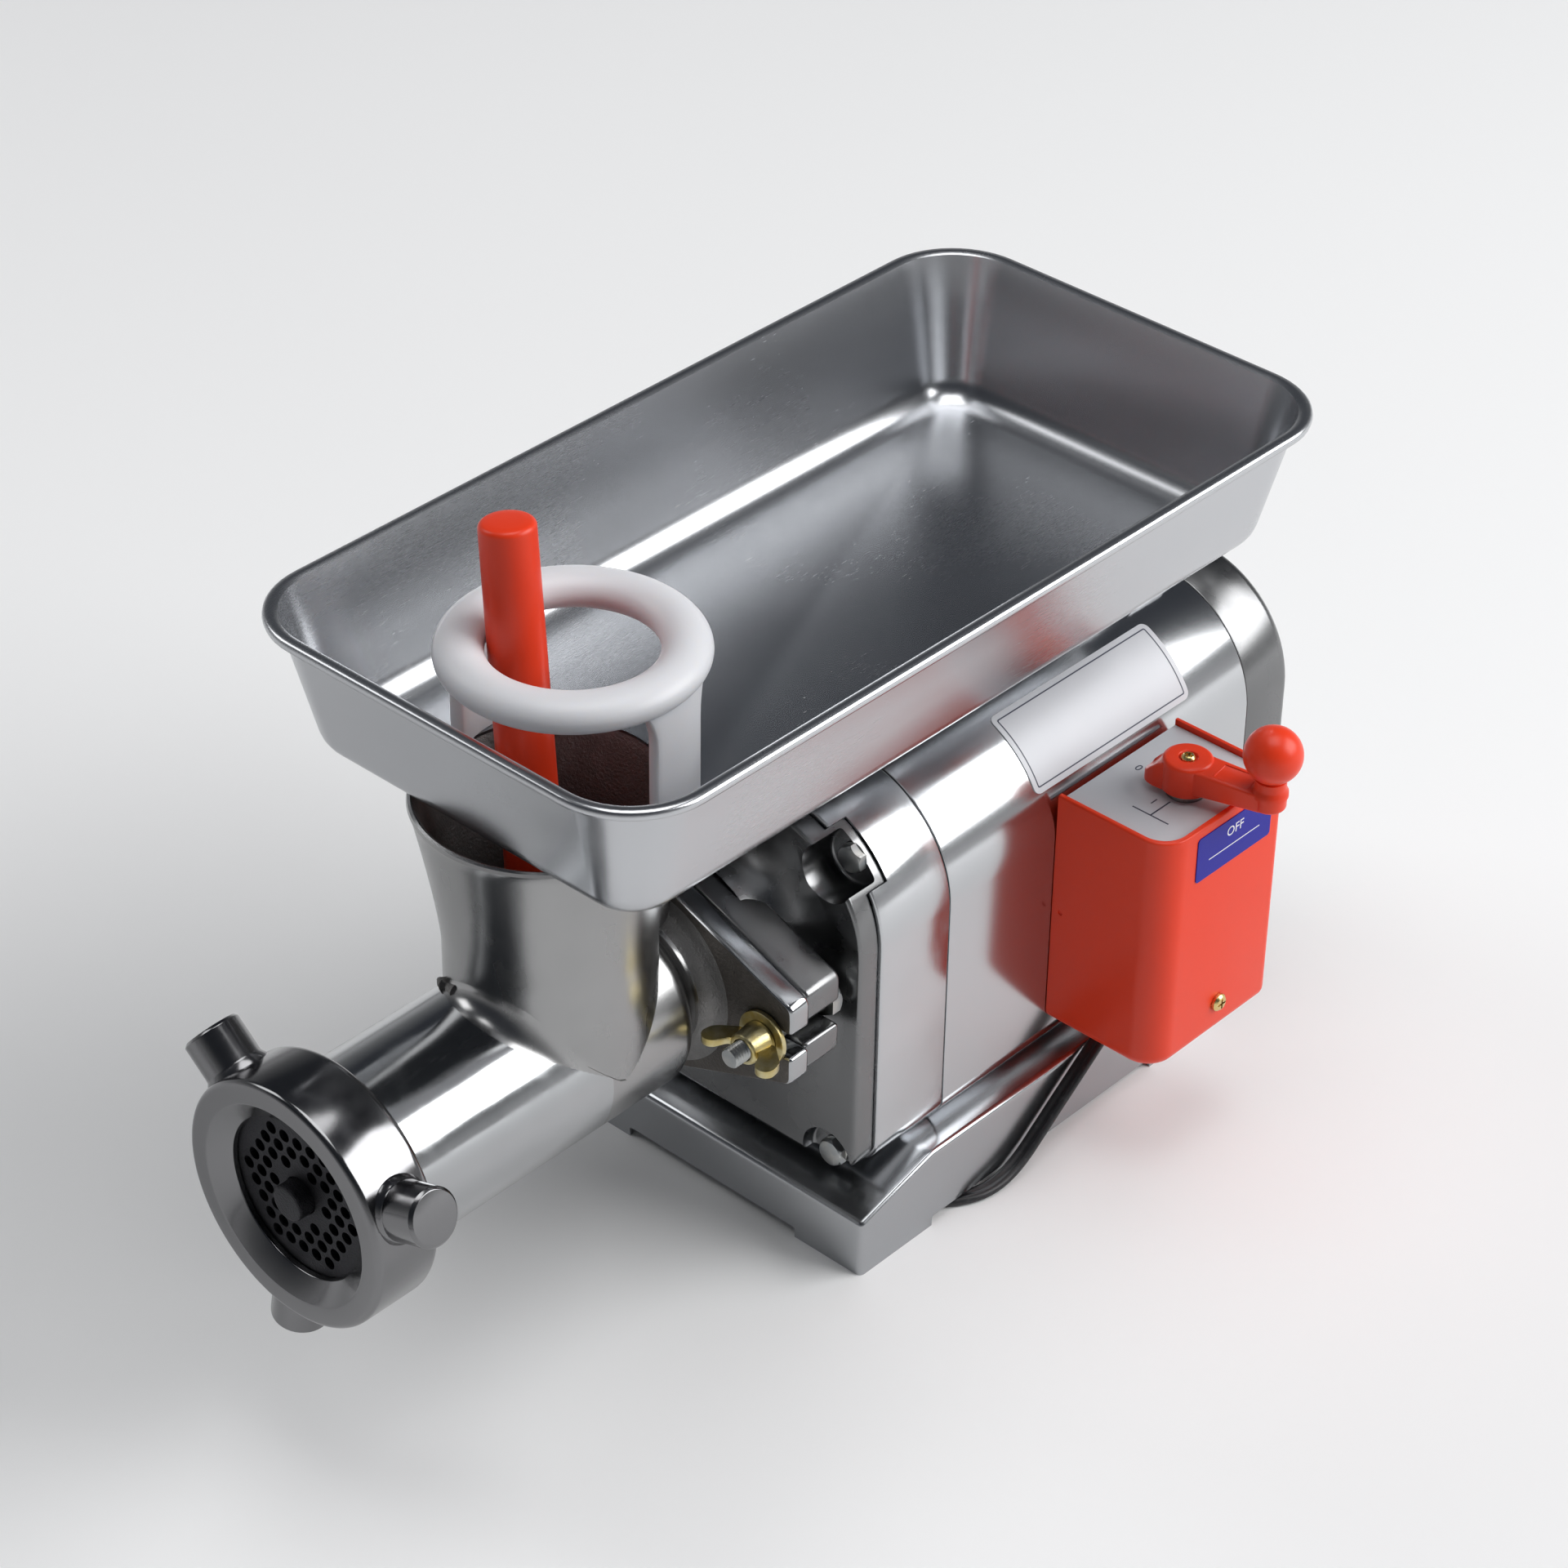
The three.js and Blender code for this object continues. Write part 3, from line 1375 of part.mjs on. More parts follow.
function baseGroup() {
  const group = new THREE.Group();
  group.add(piece('base_pan', basePan(), baseSheetFinish));
  group.add(piece('gear_cover', gearCover(), polishedCast));
  group.add(piece('gear_case', gearCase(), polishedCast));
  group.add(piece('housing_shell', shell(), mirrorSheet));
  group.add(piece('motor_shield', motorShield(), polishedCast));
  group.add(piece('rear_cover', rearCover(), polishedCast));
  boltPlaces.forEach(([x, z], i) => {
    const caseBolt = piece(`case_bolt_${i + 1}`, hexBolt(caseBoltLength), zincSteel);
    group.add(placed(caseBolt, x, coverBack - pocketFloor - seat, z));
  });
  tieBoltPlaces.forEach(([x, z], i) => {
    const tieLength = rearBack + seat - (caseBack - tieBoltGrip);
    const tieBolt = piece(`tie_bolt_${i + 1}`, hexBolt(tieLength), zincSteel);
    tieBolt.rotation.z = Math.PI;
    group.add(placed(tieBolt, x, rearBack + seat, z));
  });
  return group;
}

function motorGroup() {
  const group = new THREE.Group();
  group.position.z = motorAxisZ;
  group.add(placed(piece('stator_stack', statorStack(), laminations), 0, 0, -motorAxisZ));
  const frontWinding = piece('front_winding', winding(), copperFinish);
  frontWinding.rotation.z = Math.PI;
  group.add(placed(frontWinding, 0, stackFront - seat, 0));
  group.add(placed(piece('rear_winding', winding(), copperFinish), 0, stackBack + seat, 0));
  group.add(piece('rotor_core', rotorCore(), laminations));
  group.add(piece('rotor_shaft', rotorShaft(), zincSteel));
  const fanPlace = stackBack + seat + windingWidth + fanGap;
  group.add(placed(piece('cooling_fan', coolingFan(), blackPlastic), 0, fanPlace, 0));
  group.add(placed(piece('front_bearing', bearing(), zincSteel), 0, bearingFront, 0));
  group.add(placed(piece('rear_bearing', bearing(), zincSteel), 0, rearBearingFront, 0));
  return group;
}

function gearGroup() {
  const group = new THREE.Group();
  const pin = disc(alongY, idlerPinRadius, coverBack - 4 + seat, shellFront + 4 - seat, 20);
  group.add(placed(piece('idler_pin', pin, zincSteel), 0, 0, idlerAxisZ));
  group.add(placed(piece('idler_gear', idlerGear(), darkSteel), 0, fastGearFront, idlerAxisZ));
  group.add(placed(piece('idler_pinion', idlerPinion(), darkSteel), 0, gearFront, idlerAxisZ));
  group.add(placed(piece('output_gear', outputGear(), darkSteel), 0, gearFront, outputAxisZ));
  group.add(placed(piece('output_shaft', outputShaft(), zincSteel), 0, 0, outputAxisZ));
  group.add(placed(piece('output_bush', outputBush(), bronzeFinish), 0, 0, outputAxisZ));
  return group;
}

function headGroup() {
  const group = new THREE.Group();
  group.add(piece('head_body', headBody(), polishedCast));
  const axis = new THREE.Group();
  axis.position.z = outputAxisZ;
  axis.add(piece('auger', auger(), polishedCast));
  axis.add(piece('thrust_washer', thrustWasher(), bronzeFinish));
  axis.add(placed(piece('knife', knife(), darkSteel), 0, knifeFront, 0));
  axis.add(piece('grinding_plate', grindingPlate(), darkSteel));
  axis.add(piece('ring_nut', ringNut(), polishedCast));
  [['right', clampX], ['left', -clampX]].forEach(([side, x]) => {
    axis.add(placed(piece(`clamp_bolt_${side}`, clampBolt(), zincSteel), x, 0, 0));
    axis.add(placed(piece(`clamp_washer_${side}`, clampWasher(), yellowZinc), x, 0, 0));
    axis.add(placed(piece(`wing_nut_${side}`, wingNut(), yellowZinc), x, 0, 0));
  });
  group.add(axis);
  return group;
}

function trayGroup() {
  const group = new THREE.Group();
  group.add(piece('tray', tray(), satinSheet));
  group.add(piece('tray_support', traySupport(), satinSheet));
  const guardPiece = piece('guard', guard(), whiteNylon);
  guardPiece.rotation.z = degrees(guardTurn);
  group.add(placed(guardPiece, 0, guardY, guardZ));
  const plungerPiece = piece('plunger', plunger(), redPlastic);
  plungerPiece.quaternion.setFromUnitVectors(alongZ, plungerLean.clone().normalize());
  plungerPiece.position.copy(plungerTop);
  group.add(plungerPiece);
  return group;
}

function switchGroup() {
  const group = new THREE.Group();
  group.add(piece('switch_box', switchBox(), redPlastic));
  group.add(piece('switch_top_plate', topPlate(), labelSilver));
  group.add(piece('switch_body', switchBody(), blackPlastic));
  group.add(piece('run_capacitor', runCapacitor(), blackPlastic));
  const screw = piece('box_screw', boxScrew(), brassFinish);
  group.add(placed(screw, boxOuter, boxFront + boxScrewBack, boxBottom + boxScrewRise));
  group.add(piece('switch_label', switchLabel(), labelBlue));
  const turning = new THREE.Group();
  turning.position.set(knobX, knobY, 0);
  turning.add(piece('switch_drum', switchDrum(), zincSteel));
  turning.add(piece('switch_handle', switchHandle(), redPlastic));
  turning.add(piece('handle_screw', handleScrew(), brassFinish));
  group.add(turning);
  return group;
}

function cordGroup() {
  const group = new THREE.Group();
  group.add(piece('strain_relief', strainRelief(), blackRubber));
  group.add(piece('power_cord', powerCord(), blackRubber));
  group.add(placed(piece('cord_coil', cordCoil(), blackRubber), coilX, coilY, 0));
  const plug = new THREE.Group();
  plug.position.set(coilX, coilY + coilOuter + seat + plugWidth / 2, plugHeight / 2 + tableGap);
  plug.add(piece('plug_body', plugBody(), blackRubber));
  [1, -1].forEach((side, i) => {
    const blade = piece(`plug_blade_${i + 1}`, plugBlade(), brassFinish);
    plug.add(placed(blade, 0, (side * bladeSpacing) / 2, 0));
  });
  group.add(plug);
  return group;
}

const machine = new THREE.Group();
machine.add(baseGroup());
machine.add(motorGroup());
machine.add(gearGroup());
machine.add(headGroup());
machine.add(trayGroup());
machine.add(switchGroup());
machine.add(piece('shell_label', shellLabel(), labelSilver));

// The origin lies on the table under the middle of the machine, without its cord.
const bounds = new THREE.Box3().setFromObject(machine);
const middle = bounds.getCenter(new THREE.Vector3());
const grinder = new THREE.Group();
grinder.position.set(-middle.x, -middle.y, -bounds.min.z);
grinder.add(machine, cordGroup());

export default grinder;
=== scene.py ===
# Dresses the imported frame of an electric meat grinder: castings, sheet, plastics, cord, floor, light, camera.
import json
import math

import bmesh
import bpy
from mathutils import Matrix, Vector


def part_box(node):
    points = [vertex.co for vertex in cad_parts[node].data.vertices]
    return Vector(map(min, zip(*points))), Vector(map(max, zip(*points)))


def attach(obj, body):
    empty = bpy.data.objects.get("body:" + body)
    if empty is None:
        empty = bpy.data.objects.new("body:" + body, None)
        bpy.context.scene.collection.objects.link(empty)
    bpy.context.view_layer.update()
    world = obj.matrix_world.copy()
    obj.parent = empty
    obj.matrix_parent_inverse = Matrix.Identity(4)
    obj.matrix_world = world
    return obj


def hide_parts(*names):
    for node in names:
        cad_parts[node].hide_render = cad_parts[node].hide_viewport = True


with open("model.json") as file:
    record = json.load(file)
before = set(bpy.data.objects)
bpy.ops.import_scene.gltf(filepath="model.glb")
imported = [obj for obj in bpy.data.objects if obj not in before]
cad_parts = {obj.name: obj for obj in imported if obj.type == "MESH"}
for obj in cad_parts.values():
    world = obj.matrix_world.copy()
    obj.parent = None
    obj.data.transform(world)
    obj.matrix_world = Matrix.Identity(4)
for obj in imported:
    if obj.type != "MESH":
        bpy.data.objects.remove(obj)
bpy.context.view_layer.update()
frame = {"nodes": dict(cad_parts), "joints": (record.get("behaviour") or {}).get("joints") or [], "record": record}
print("frame loaded")

# Pieces are drawn in millimetres from the middle plane, from 40 mm in front of the clamp face, and from the table.
mm = 0.001
shellBox = [Vector(corner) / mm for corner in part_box("housing_shell")]
headBox = [Vector(corner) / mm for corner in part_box("head_body")]
clampFace = 40
origin = Vector(((shellBox[0].x + shellBox[1].x) / 2, headBox[1].y - clampFace, 0))
toFrame = Matrix.Scale(mm, 4) @ Matrix.Translation(origin)


def nodeBox(name):
    low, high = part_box(name)
    return Vector(low) / mm - origin, Vector(high) / mm - origin


def jointPlace(name):
    joint = next(joint for joint in frame["joints"] if joint["name"] == name)
    return Vector(joint["pos_m"]) / mm - origin


outputAxis = jointPlace("output_spin")
outputAxis.y = 0
outputPlace = (0, 0, outputAxis.z)
leverAxis = jointPlace("switch_turn")

axisVectors = {"X": Vector((1, 0, 0)), "Y": Vector((0, 1, 0)), "Z": Vector((0, 0, 1))}


# a corner list of (a, b, radius) becomes an outline with those corners rounded
def rounded(corners, closed=True, steps=6):
    outline = []
    count = len(corners)
    for i, corner in enumerate(corners):
        place = Vector(corner[:2])
        radius = corner[2] if len(corner) > 2 else 0
        if radius == 0 or (not closed and i in (0, count - 1)):
            outline.append(place)
            continue
        back = (Vector(corners[i - 1][:2]) - place).normalized()
        ahead = (Vector(corners[(i + 1) % count][:2]) - place).normalized()
        half = back.angle(ahead) / 2
        reach = radius / math.tan(half)
        centre = place + (back + ahead).normalized() * radius / math.sin(half)
        start = place + back * reach - centre
        end = place + ahead * reach - centre
        sweep = start.angle_signed(end)
        turns = max(2, round(steps * abs(sweep) / (math.pi / 2)))
        for step in range(turns + 1):
            outline.append(centre + Matrix.Rotation(-sweep * step / turns, 2) @ start)
    return outline


def onAxis(axis, across, along):
    return {"X": Vector((along, across, 0)), "Y": Vector((across, along, 0)), "Z": Vector((across, 0, along))}[axis]


# a profile of (radius, place) points spun about an axis through centre
def spun(profile, axis="Y", centre=(0, 0, 0), segments=96):
    bm = bmesh.new()
    points = [bm.verts.new(onAxis(axis, point[0], point[1])) for point in profile]
    pairs = list(zip(points, points[1:]))
    if profile[0][0] > 0:
        pairs.append((points[-1], points[0]))
    for first, second in pairs:
        bm.edges.new((first, second))
    bmesh.ops.spin(bm, geom=bm.verts[:] + bm.edges[:], cent=(0, 0, 0), axis=axisVectors[axis],
                   angle=math.tau, steps=segments, use_merge=True)
    bmesh.ops.remove_doubles(bm, verts=bm.verts, dist=1e-4)
    bmesh.ops.recalc_face_normals(bm, faces=bm.faces)
    bmesh.ops.translate(bm, verts=bm.verts, vec=Vector(centre))
    return bm


# a solid turned about an axis: its corners start and end on the axis, and may carry a radius
def turned(corners, axis="Y", centre=(0, 0, 0), segments=96, steps=6):
    return spun(rounded(corners, closed=False, steps=steps), axis, centre, segments)


def rod(radius, start, end, axis="Y", centre=(0, 0, 0), segments=48):
    return spun([(0, start), (radius, start), (radius, end), (0, end)], axis, centre, segments)


# an outline of (a, b) points pushed along an axis; a and b are the other two axes in order
def prism(outline, axis, start, end):
    places = {"X": lambda a, b: (start, a, b), "Y": lambda a, b: (a, start, b), "Z": lambda a, b: (a, b, start)}[axis]
    bm = bmesh.new()
    face = bm.faces.new([bm.verts.new(places(point[0], point[1])) for point in outline])
    pushed = bmesh.ops.extrude_face_region(bm, geom=[face])
    corners = [item for item in pushed["geom"] if isinstance(item, bmesh.types.BMVert)]
    bmesh.ops.translate(bm, verts=corners, vec=axisVectors[axis] * (end - start))
    bmesh.ops.recalc_face_normals(bm, faces=bm.faces)
    return bm


# the outline of a rectangle between two opposite corners, with every corner rounded
def card(low, high, radius):
    return rounded([(*low, radius), (high[0], low[1], radius), (*high, radius), (low[0], high[1], radius)])


def block(low, high):
    bm = bmesh.new()
    low, high = Vector(low), Vector(high)
    place = Matrix.Translation((low + high) / 2) @ Matrix.Diagonal((*(high - low), 1))
    bmesh.ops.create_cube(bm, size=1, matrix=place)
    return bm


# closed cross-sections with the same number of points, bridged one after another and capped
def lofted(rings):
    bm = bmesh.new()
    loops = []
    for ring in rings:
        verts = [bm.verts.new(point) for point in ring]
        loops.append([bm.edges.new((verts[i - 1], verts[i])) for i in range(len(verts))])
    for first, second in zip(loops, loops[1:]):
        bmesh.ops.bridge_loops(bm, edges=first + second)
    bmesh.ops.holes_fill(bm, edges=loops[0] + loops[-1], sides=0)
    bmesh.ops.recalc_face_normals(bm, faces=bm.faces)
    return bm


def moved(bm, vec=(0, 0, 0), turn=0, axis="Z", centre=(0, 0, 0)):
    if turn:
        spin = Matrix.Rotation(turn, 3, axis)
        bmesh.ops.rotate(bm, verts=bm.verts, cent=Vector(centre), matrix=spin)
    bmesh.ops.translate(bm, verts=bm.verts, vec=Vector(vec))
    return bm


# edges where faces meet at more than an angle are bevelled, if wanted() says so
def softened(bm, width, segments=3, angle=30, wanted=None):
    edges = [
        edge for edge in bm.edges
        if len(edge.link_faces) == 2 and edge.calc_face_angle() > math.radians(angle)
        and (wanted is None or wanted(edge))
    ]
    bmesh.ops.bevel(bm, geom=edges, offset=width, offset_type="OFFSET", segments=segments, profile=0.5,
                    affect="EDGES", material=-1, clamp_overlap=True)
    return bm


def together(*parts):
    whole = bmesh.new()
    for part in parts:
        mesh = bpy.data.meshes.new("part")
        part.to_mesh(mesh)
        whole.from_mesh(mesh)
        part.free()
        bpy.data.meshes.remove(mesh)
    return whole


def placed(name, data):
    made = bpy.data.objects.new(name, data)
    bpy.context.scene.collection.objects.link(made)
    return made


def meshObject(name, bm):
    mesh = bpy.data.meshes.new(name)
    bm.to_mesh(mesh)
    bm.free()
    return placed(name, mesh)


# the mesh that an object's modifiers, letters or curve come to
def evaluated(holder):
    ready = holder.evaluated_get(bpy.context.evaluated_depsgraph_get())
    bm = bmesh.new()
    bm.from_mesh(ready.to_mesh())
    ready.to_mesh_clear()
    return bm


def discard(*holders):
    for holder in holders:
        data = holder.data
        bpy.data.objects.remove(holder)
        (bpy.data.meshes if isinstance(data, bpy.types.Mesh) else bpy.data.curves).remove(data)


# bodies joined or cut with the Boolean modifier, returned as a bmesh again
def combined(bm, *others, operation="DIFFERENCE"):
    target = meshObject("loose", bm)
    helpers = [meshObject("loose", other) for other in others]
    for helper in helpers:
        modifier = target.modifiers.new("cut", "BOOLEAN")
        modifier.operation = operation
        modifier.solver = "EXACT"
        modifier.object = helper
    result = evaluated(target)
    discard(target, *helpers)
    bmesh.ops.remove_doubles(result, verts=result.verts, dist=1e-4)
    bmesh.ops.dissolve_degenerate(result, edges=result.edges, dist=1e-4)
    return result


# a finished bmesh becomes a piece of the object, in metres, riding on a body; marked faces take the extra finishes
def piece(name, bm, finish, stands=(), body="base", sharp=35, extra=()):
    bmesh.ops.transform(bm, matrix=toFrame, verts=bm.verts)
    for face in bm.faces:
        face.smooth = True
    made = meshObject(name, bm)
    made.data.set_sharp_from_angle(angle=math.radians(sharp))
    for each in (finish, *extra):
        made.data.materials.append(finishes[each])
    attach(made, body)
    if stands:
        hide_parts(*stands)
    return made


# shader helpers: numbers are worked out with Python's own operators
class Amount:
    def __init__(self, paint, socket):
        self.paint = paint
        self.socket = socket

    def __add__(self, other):
        return self.paint.maths("ADD", self, other)

    __radd__ = __add__

    def __sub__(self, other):
        return self.paint.maths("SUBTRACT", self, other)

    def __rsub__(self, other):
        return self.paint.maths("SUBTRACT", other, self)

    def __mul__(self, other):
        return self.paint.maths("MULTIPLY", self, other)

    __rmul__ = __mul__


finishes = {}


class NodeTree:
    def __init__(self, tree):
        self.tree = tree

    def feed(self, socket, value):
        if isinstance(value, Amount):
            self.tree.links.new(value.socket, socket)
        elif isinstance(value, (tuple, list)) and socket.type == "RGBA":
            socket.default_value = (*value[:3], 1)
        else:
            socket.default_value = value

    def node(self, kind, settings=None, inputs=None, output=0, stops=None):
        made = self.tree.nodes.new(kind)
        for key, value in (settings or {}).items():
            setattr(made, key, value)
        for i, (position, colour) in enumerate(stops or []):
            ramp = made.color_ramp
            stop = ramp.elements[i] if i < len(ramp.elements) else ramp.elements.new(position)
            stop.position = position
            stop.color = (*colour, 1)
        for key, value in (inputs or {}).items():
            self.feed(made.inputs[key], value)
        return Amount(self, made.outputs[output])

    def maths(self, operation, first, second):
        return self.node("ShaderNodeMath", {"operation": operation}, {0: first, 1: second})


class Paint(NodeTree):
    def __init__(self, name, **constants):
        self.material = bpy.data.materials.new(name)
        self.material.use_nodes = True
        super().__init__(self.material.node_tree)
        self.shader = next(node for node in self.tree.nodes if node.type == "BSDF_PRINCIPLED")
        self.set(**constants)
        finishes[name] = self.material
        self.place = self.node("ShaderNodeTexCoord", output="Object")

    # plain values go on the shader's own sockets, by name with spaces left out
    def set(self, **values):
        for socket in self.shader.inputs:
            key = socket.name.replace(" ", "")
            if key in values:
                self.feed(socket, values[key])

    def stretched(self, scale):
        return self.node("ShaderNodeMapping", None, {"Vector": self.place, "Scale": scale})

    def noise(self, scale, detail=3, place=None, roughness=0.5):
        return self.node("ShaderNodeTexNoise", None, {
            "Vector": place or self.place, "Scale": scale, "Detail": detail, "Roughness": roughness,
        })

    def mask(self, value, low, high):
        return self.node("ShaderNodeMapRange", None, {"Value": value, "From Min": low, "From Max": high})

    def blend(self, factor, first, second):
        made = self.tree.nodes.new("ShaderNodeMix")
        made.data_type = "RGBA"
        self.feed(made.inputs[0], factor)
        self.feed(made.inputs[6], first)
        self.feed(made.inputs[7], second)
        return Amount(self, made.outputs[2])

    # the base colour drifts between a darker and a lighter shade
    def shade(self, factor, colour, dark, light):
        self.set(BaseColor=self.blend(factor, [c * dark for c in colour], [min(1, c * light) for c in colour]))

    def bump(self, height, strength, distance):
        values = {"Height": height, "Strength": strength, "Distance": distance}
        self.set(Normal=self.node("ShaderNodeBump", None, values))


# cast or turned metal polished by hand: soft waves, faint streaks and duller patches
def polishedMetal(name, colour, roughness=0.12, wave=0.4, streak=(1, 1, 1), streakDepth=0.06, dull=0.1):
    paint = Paint(name, Metallic=1.0)
    clouds = paint.noise(28, 4)
    streaks = paint.noise(160, 3, paint.stretched(streak), 0.6)
    patch = paint.mask(paint.noise(46, 3), 0.5, 0.72)
    paint.shade(clouds, colour, 0.9, 1.08)
    paint.set(Roughness=roughness + streakDepth * (streaks - 0.5) + dull * patch)
    paint.bump(paint.noise(38, 1) * wave + streaks * 0.02, 0.5, 0.0012)


# as it came from the sand: grain and pits
def roughCast(name, colour, roughness=0.5, grain=900):
    paint = Paint(name, Metallic=1.0)
    grains = paint.noise(grain, 3, roughness=0.7)
    clouds = paint.noise(60, 4)
    paint.shade(paint.mask(clouds, 0.35, 0.7), colour, 0.7, 1)
    paint.set(Roughness=roughness - 0.12 * paint.mask(grains, 0.5, 0.8))
    paint.bump(grains + clouds * 0.4, 0.7, 0.0006)


# rolled sheet with a fine grain along one axis and the haze that handling leaves
def sheetMetal(name, colour, roughness, grain, haze=0.1, wave=0.1, scratch=0.5):
    paint = Paint(name, Metallic=1.0)
    lines = paint.noise(240, 4, paint.stretched(grain), 0.65)
    clouds = paint.noise(9, 4)
    smudge = paint.mask(paint.noise(13, 2, roughness=0.4), 0.3, 0.9)
    paint.shade(clouds, colour, 0.95, 1.04)
    paint.set(Roughness=roughness + 0.05 * (lines - 0.5) + haze * smudge)
    paint.bump(lines * 0.05 * scratch + paint.noise(9, 1) * wave, 0.4, 0.001)


# small steel parts under zinc, with the colour drifting over each
def platedMetal(name, colour, second, roughness=0.3):
    paint = Paint(name, Metallic=1.0)
    drift = paint.noise(190, 3)
    grains = paint.noise(1500, 2)
    paint.set(BaseColor=paint.blend(paint.mask(drift, 0.35, 0.65), colour, second))
    paint.set(Roughness=roughness + 0.15 * (grains - 0.4))
    paint.bump(grains, 0.25, 0.0002)


def plastic(name, colour, roughness, grain=700, depth=0.1, under=0.0, shine=0.5):
    paint = Paint(name, Metallic=0.0, SpecularIORLevel=shine, SubsurfaceWeight=under,
                  SubsurfaceRadius=(0.006, 0.005, 0.004), SubsurfaceScale=1.0)
    grains = paint.noise(grain, 2)
    clouds = paint.noise(35, 3)
    paint.shade(clouds, colour, 0.96, 1.03)
    paint.set(Roughness=roughness + 0.06 * (clouds - 0.5) + 0.04 * (grains - 0.5))
    paint.bump(grains * 0.5 + paint.noise(60, 1), depth, 0.0003)


# black jacket with fine scuffs
def rubber(name, colour, roughness=0.42):
    paint = Paint(name, Metallic=0.0)
    scuffs = paint.mask(paint.noise(420, 4), 0.55, 0.8)
    paint.set(BaseColor=paint.blend(scuffs, colour, [c * 2.2 + 0.01 for c in colour]))
    paint.set(Roughness=roughness + 0.2 * scuffs)
    paint.bump(paint.noise(1300, 2), 0.2, 0.0002)


def printedSheet(name, colour, roughness=0.32, metal=0.0, shine=0.5):
    paint = Paint(name, Metallic=metal, SpecularIORLevel=shine)
    fibre = paint.noise(800, 2, paint.stretched((1, 14, 1)))
    clouds = paint.noise(40, 3)
    paint.shade(clouds, colour, 0.95, 1.04)
    paint.set(Roughness=roughness + 0.1 * (fibre - 0.5))
    paint.bump(fibre, 0.08, 0.0002)


polishedMetal("headCast", (0.42, 0.43, 0.44), 0.12, 0.4)
polishedMetal("neckCast", (0.36, 0.36, 0.36), 0.25, 0.16, (1, 1, 0.12), 0.07, 0.04)
# the ring nut's polished cast is darkened as painted shade, standing in for the dark reflections on its front
polishedMetal("ringCastPaintedShade", (0.20, 0.20, 0.205), 0.15, 0.3)
# the front casting, its clamp flange and the rear cover are darkened as painted shade, standing in for the dark
# reflections on the gear cover's front
polishedMetal("plateCastPaintedShade", (0.22, 0.222, 0.225), 0.26, 0.12, dull=0.12)
polishedMetal("bandCast", (0.56, 0.57, 0.585), 0.17, 0.2, (0.3, 6, 1))
sheetMetal("mirrorSheet", (0.54, 0.55, 0.565), 0.15, (10, 0.6, 10), 0.06, 0.1, 0.2)
sheetMetal("satinSheet", (0.54, 0.55, 0.57), 0.25, (9, 0.5, 9), 0.04, 0.03, 0.08)
sheetMetal("baseSheet", (0.42, 0.43, 0.445), 0.18, (7, 7, 0.8), 0.12, 0.12, 0.3)
roughCast("grainyCast", (0.27, 0.265, 0.26), 0.5)
# rough cast grain for the head flange's front face; its near-black colour is painted shade for the face turned away
# from the light
roughCast("flangeFrontPaintedShade", (0.13, 0.12, 0.11), 0.5, 700)
roughCast("weldCast", (0.16, 0.155, 0.15), 0.42, 500)
roughCast("darkSteel", (0.045, 0.045, 0.05), 0.4, 1400)
platedMetal("zincSteel", (0.36, 0.38, 0.39), (0.48, 0.48, 0.46), 0.3)
platedMetal("yellowZinc", (0.50, 0.40, 0.16), (0.60, 0.54, 0.32), 0.3)
platedMetal("brass", (0.66, 0.47, 0.17), (0.74, 0.58, 0.26), 0.25)
platedMetal("bronze", (0.42, 0.26, 0.12), (0.50, 0.33, 0.16), 0.35)
platedMetal("copperWire", (0.45, 0.16, 0.07), (0.55, 0.22, 0.09), 0.35)
roughCast("laminations", (0.12, 0.12, 0.13), 0.5)
plastic("redPlastic", (0.78, 0.045, 0.012), 0.33, 500, 0.03, shine=0.35)
plastic("whiteNylon", (0.69, 0.695, 0.72), 0.4, 900, 0.1, 0.4)
plastic("blackPlastic", (0.018, 0.018, 0.02), 0.4)
rubber("blackRubber", (0.012, 0.012, 0.014))
printedSheet("silverPlate", (0.60, 0.61, 0.64), 0.45, 0.1)
printedSheet("blueLabel", (0.016, 0.015, 0.29), 0.38, shine=0.2)
printedSheet("whiteInk", (0.78, 0.79, 0.82), 0.4)
printedSheet("darkInk", (0.05, 0.055, 0.09), 0.4)

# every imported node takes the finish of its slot, also those that stay hidden inside; only the auger is darker
slotFinishes = {
    "polished_cast": "headCast", "mirror_sheet": "mirrorSheet", "satin_sheet": "satinSheet",
    "base_sheet": "baseSheet", "dark_steel": "darkSteel", "zinc_steel": "zincSteel",
    "yellow_zinc": "yellowZinc", "brass": "brass", "bronze": "bronze", "copper_wire": "copperWire",
    "laminations": "laminations", "red_plastic": "redPlastic", "white_nylon": "whiteNylon",
    "black_rubber": "blackRubber", "black_plastic": "blackPlastic", "silver_plate": "silverPlate",
    "blue_label": "blueLabel",
}
for part in frame["record"]["subparts"]:
    node = frame["nodes"][part["node"]]
    finish = finishes["darkSteel" if part["node"] == "auger" else slotFinishes[part["material_slot"]]]
    if node.data.materials:
        for i in range(len(node.data.materials)):
            node.data.materials[i] = finish
    else:
        node.data.materials.append(finish)
print("finishes ready")


# a second finish goes on the faces that wanted(face) picks; called on a piece drawn in millimetres
def markFaces(bm, wanted, index=1):
    for face in bm.faces:
        if wanted(face):
            face.material_index = index
    return bm


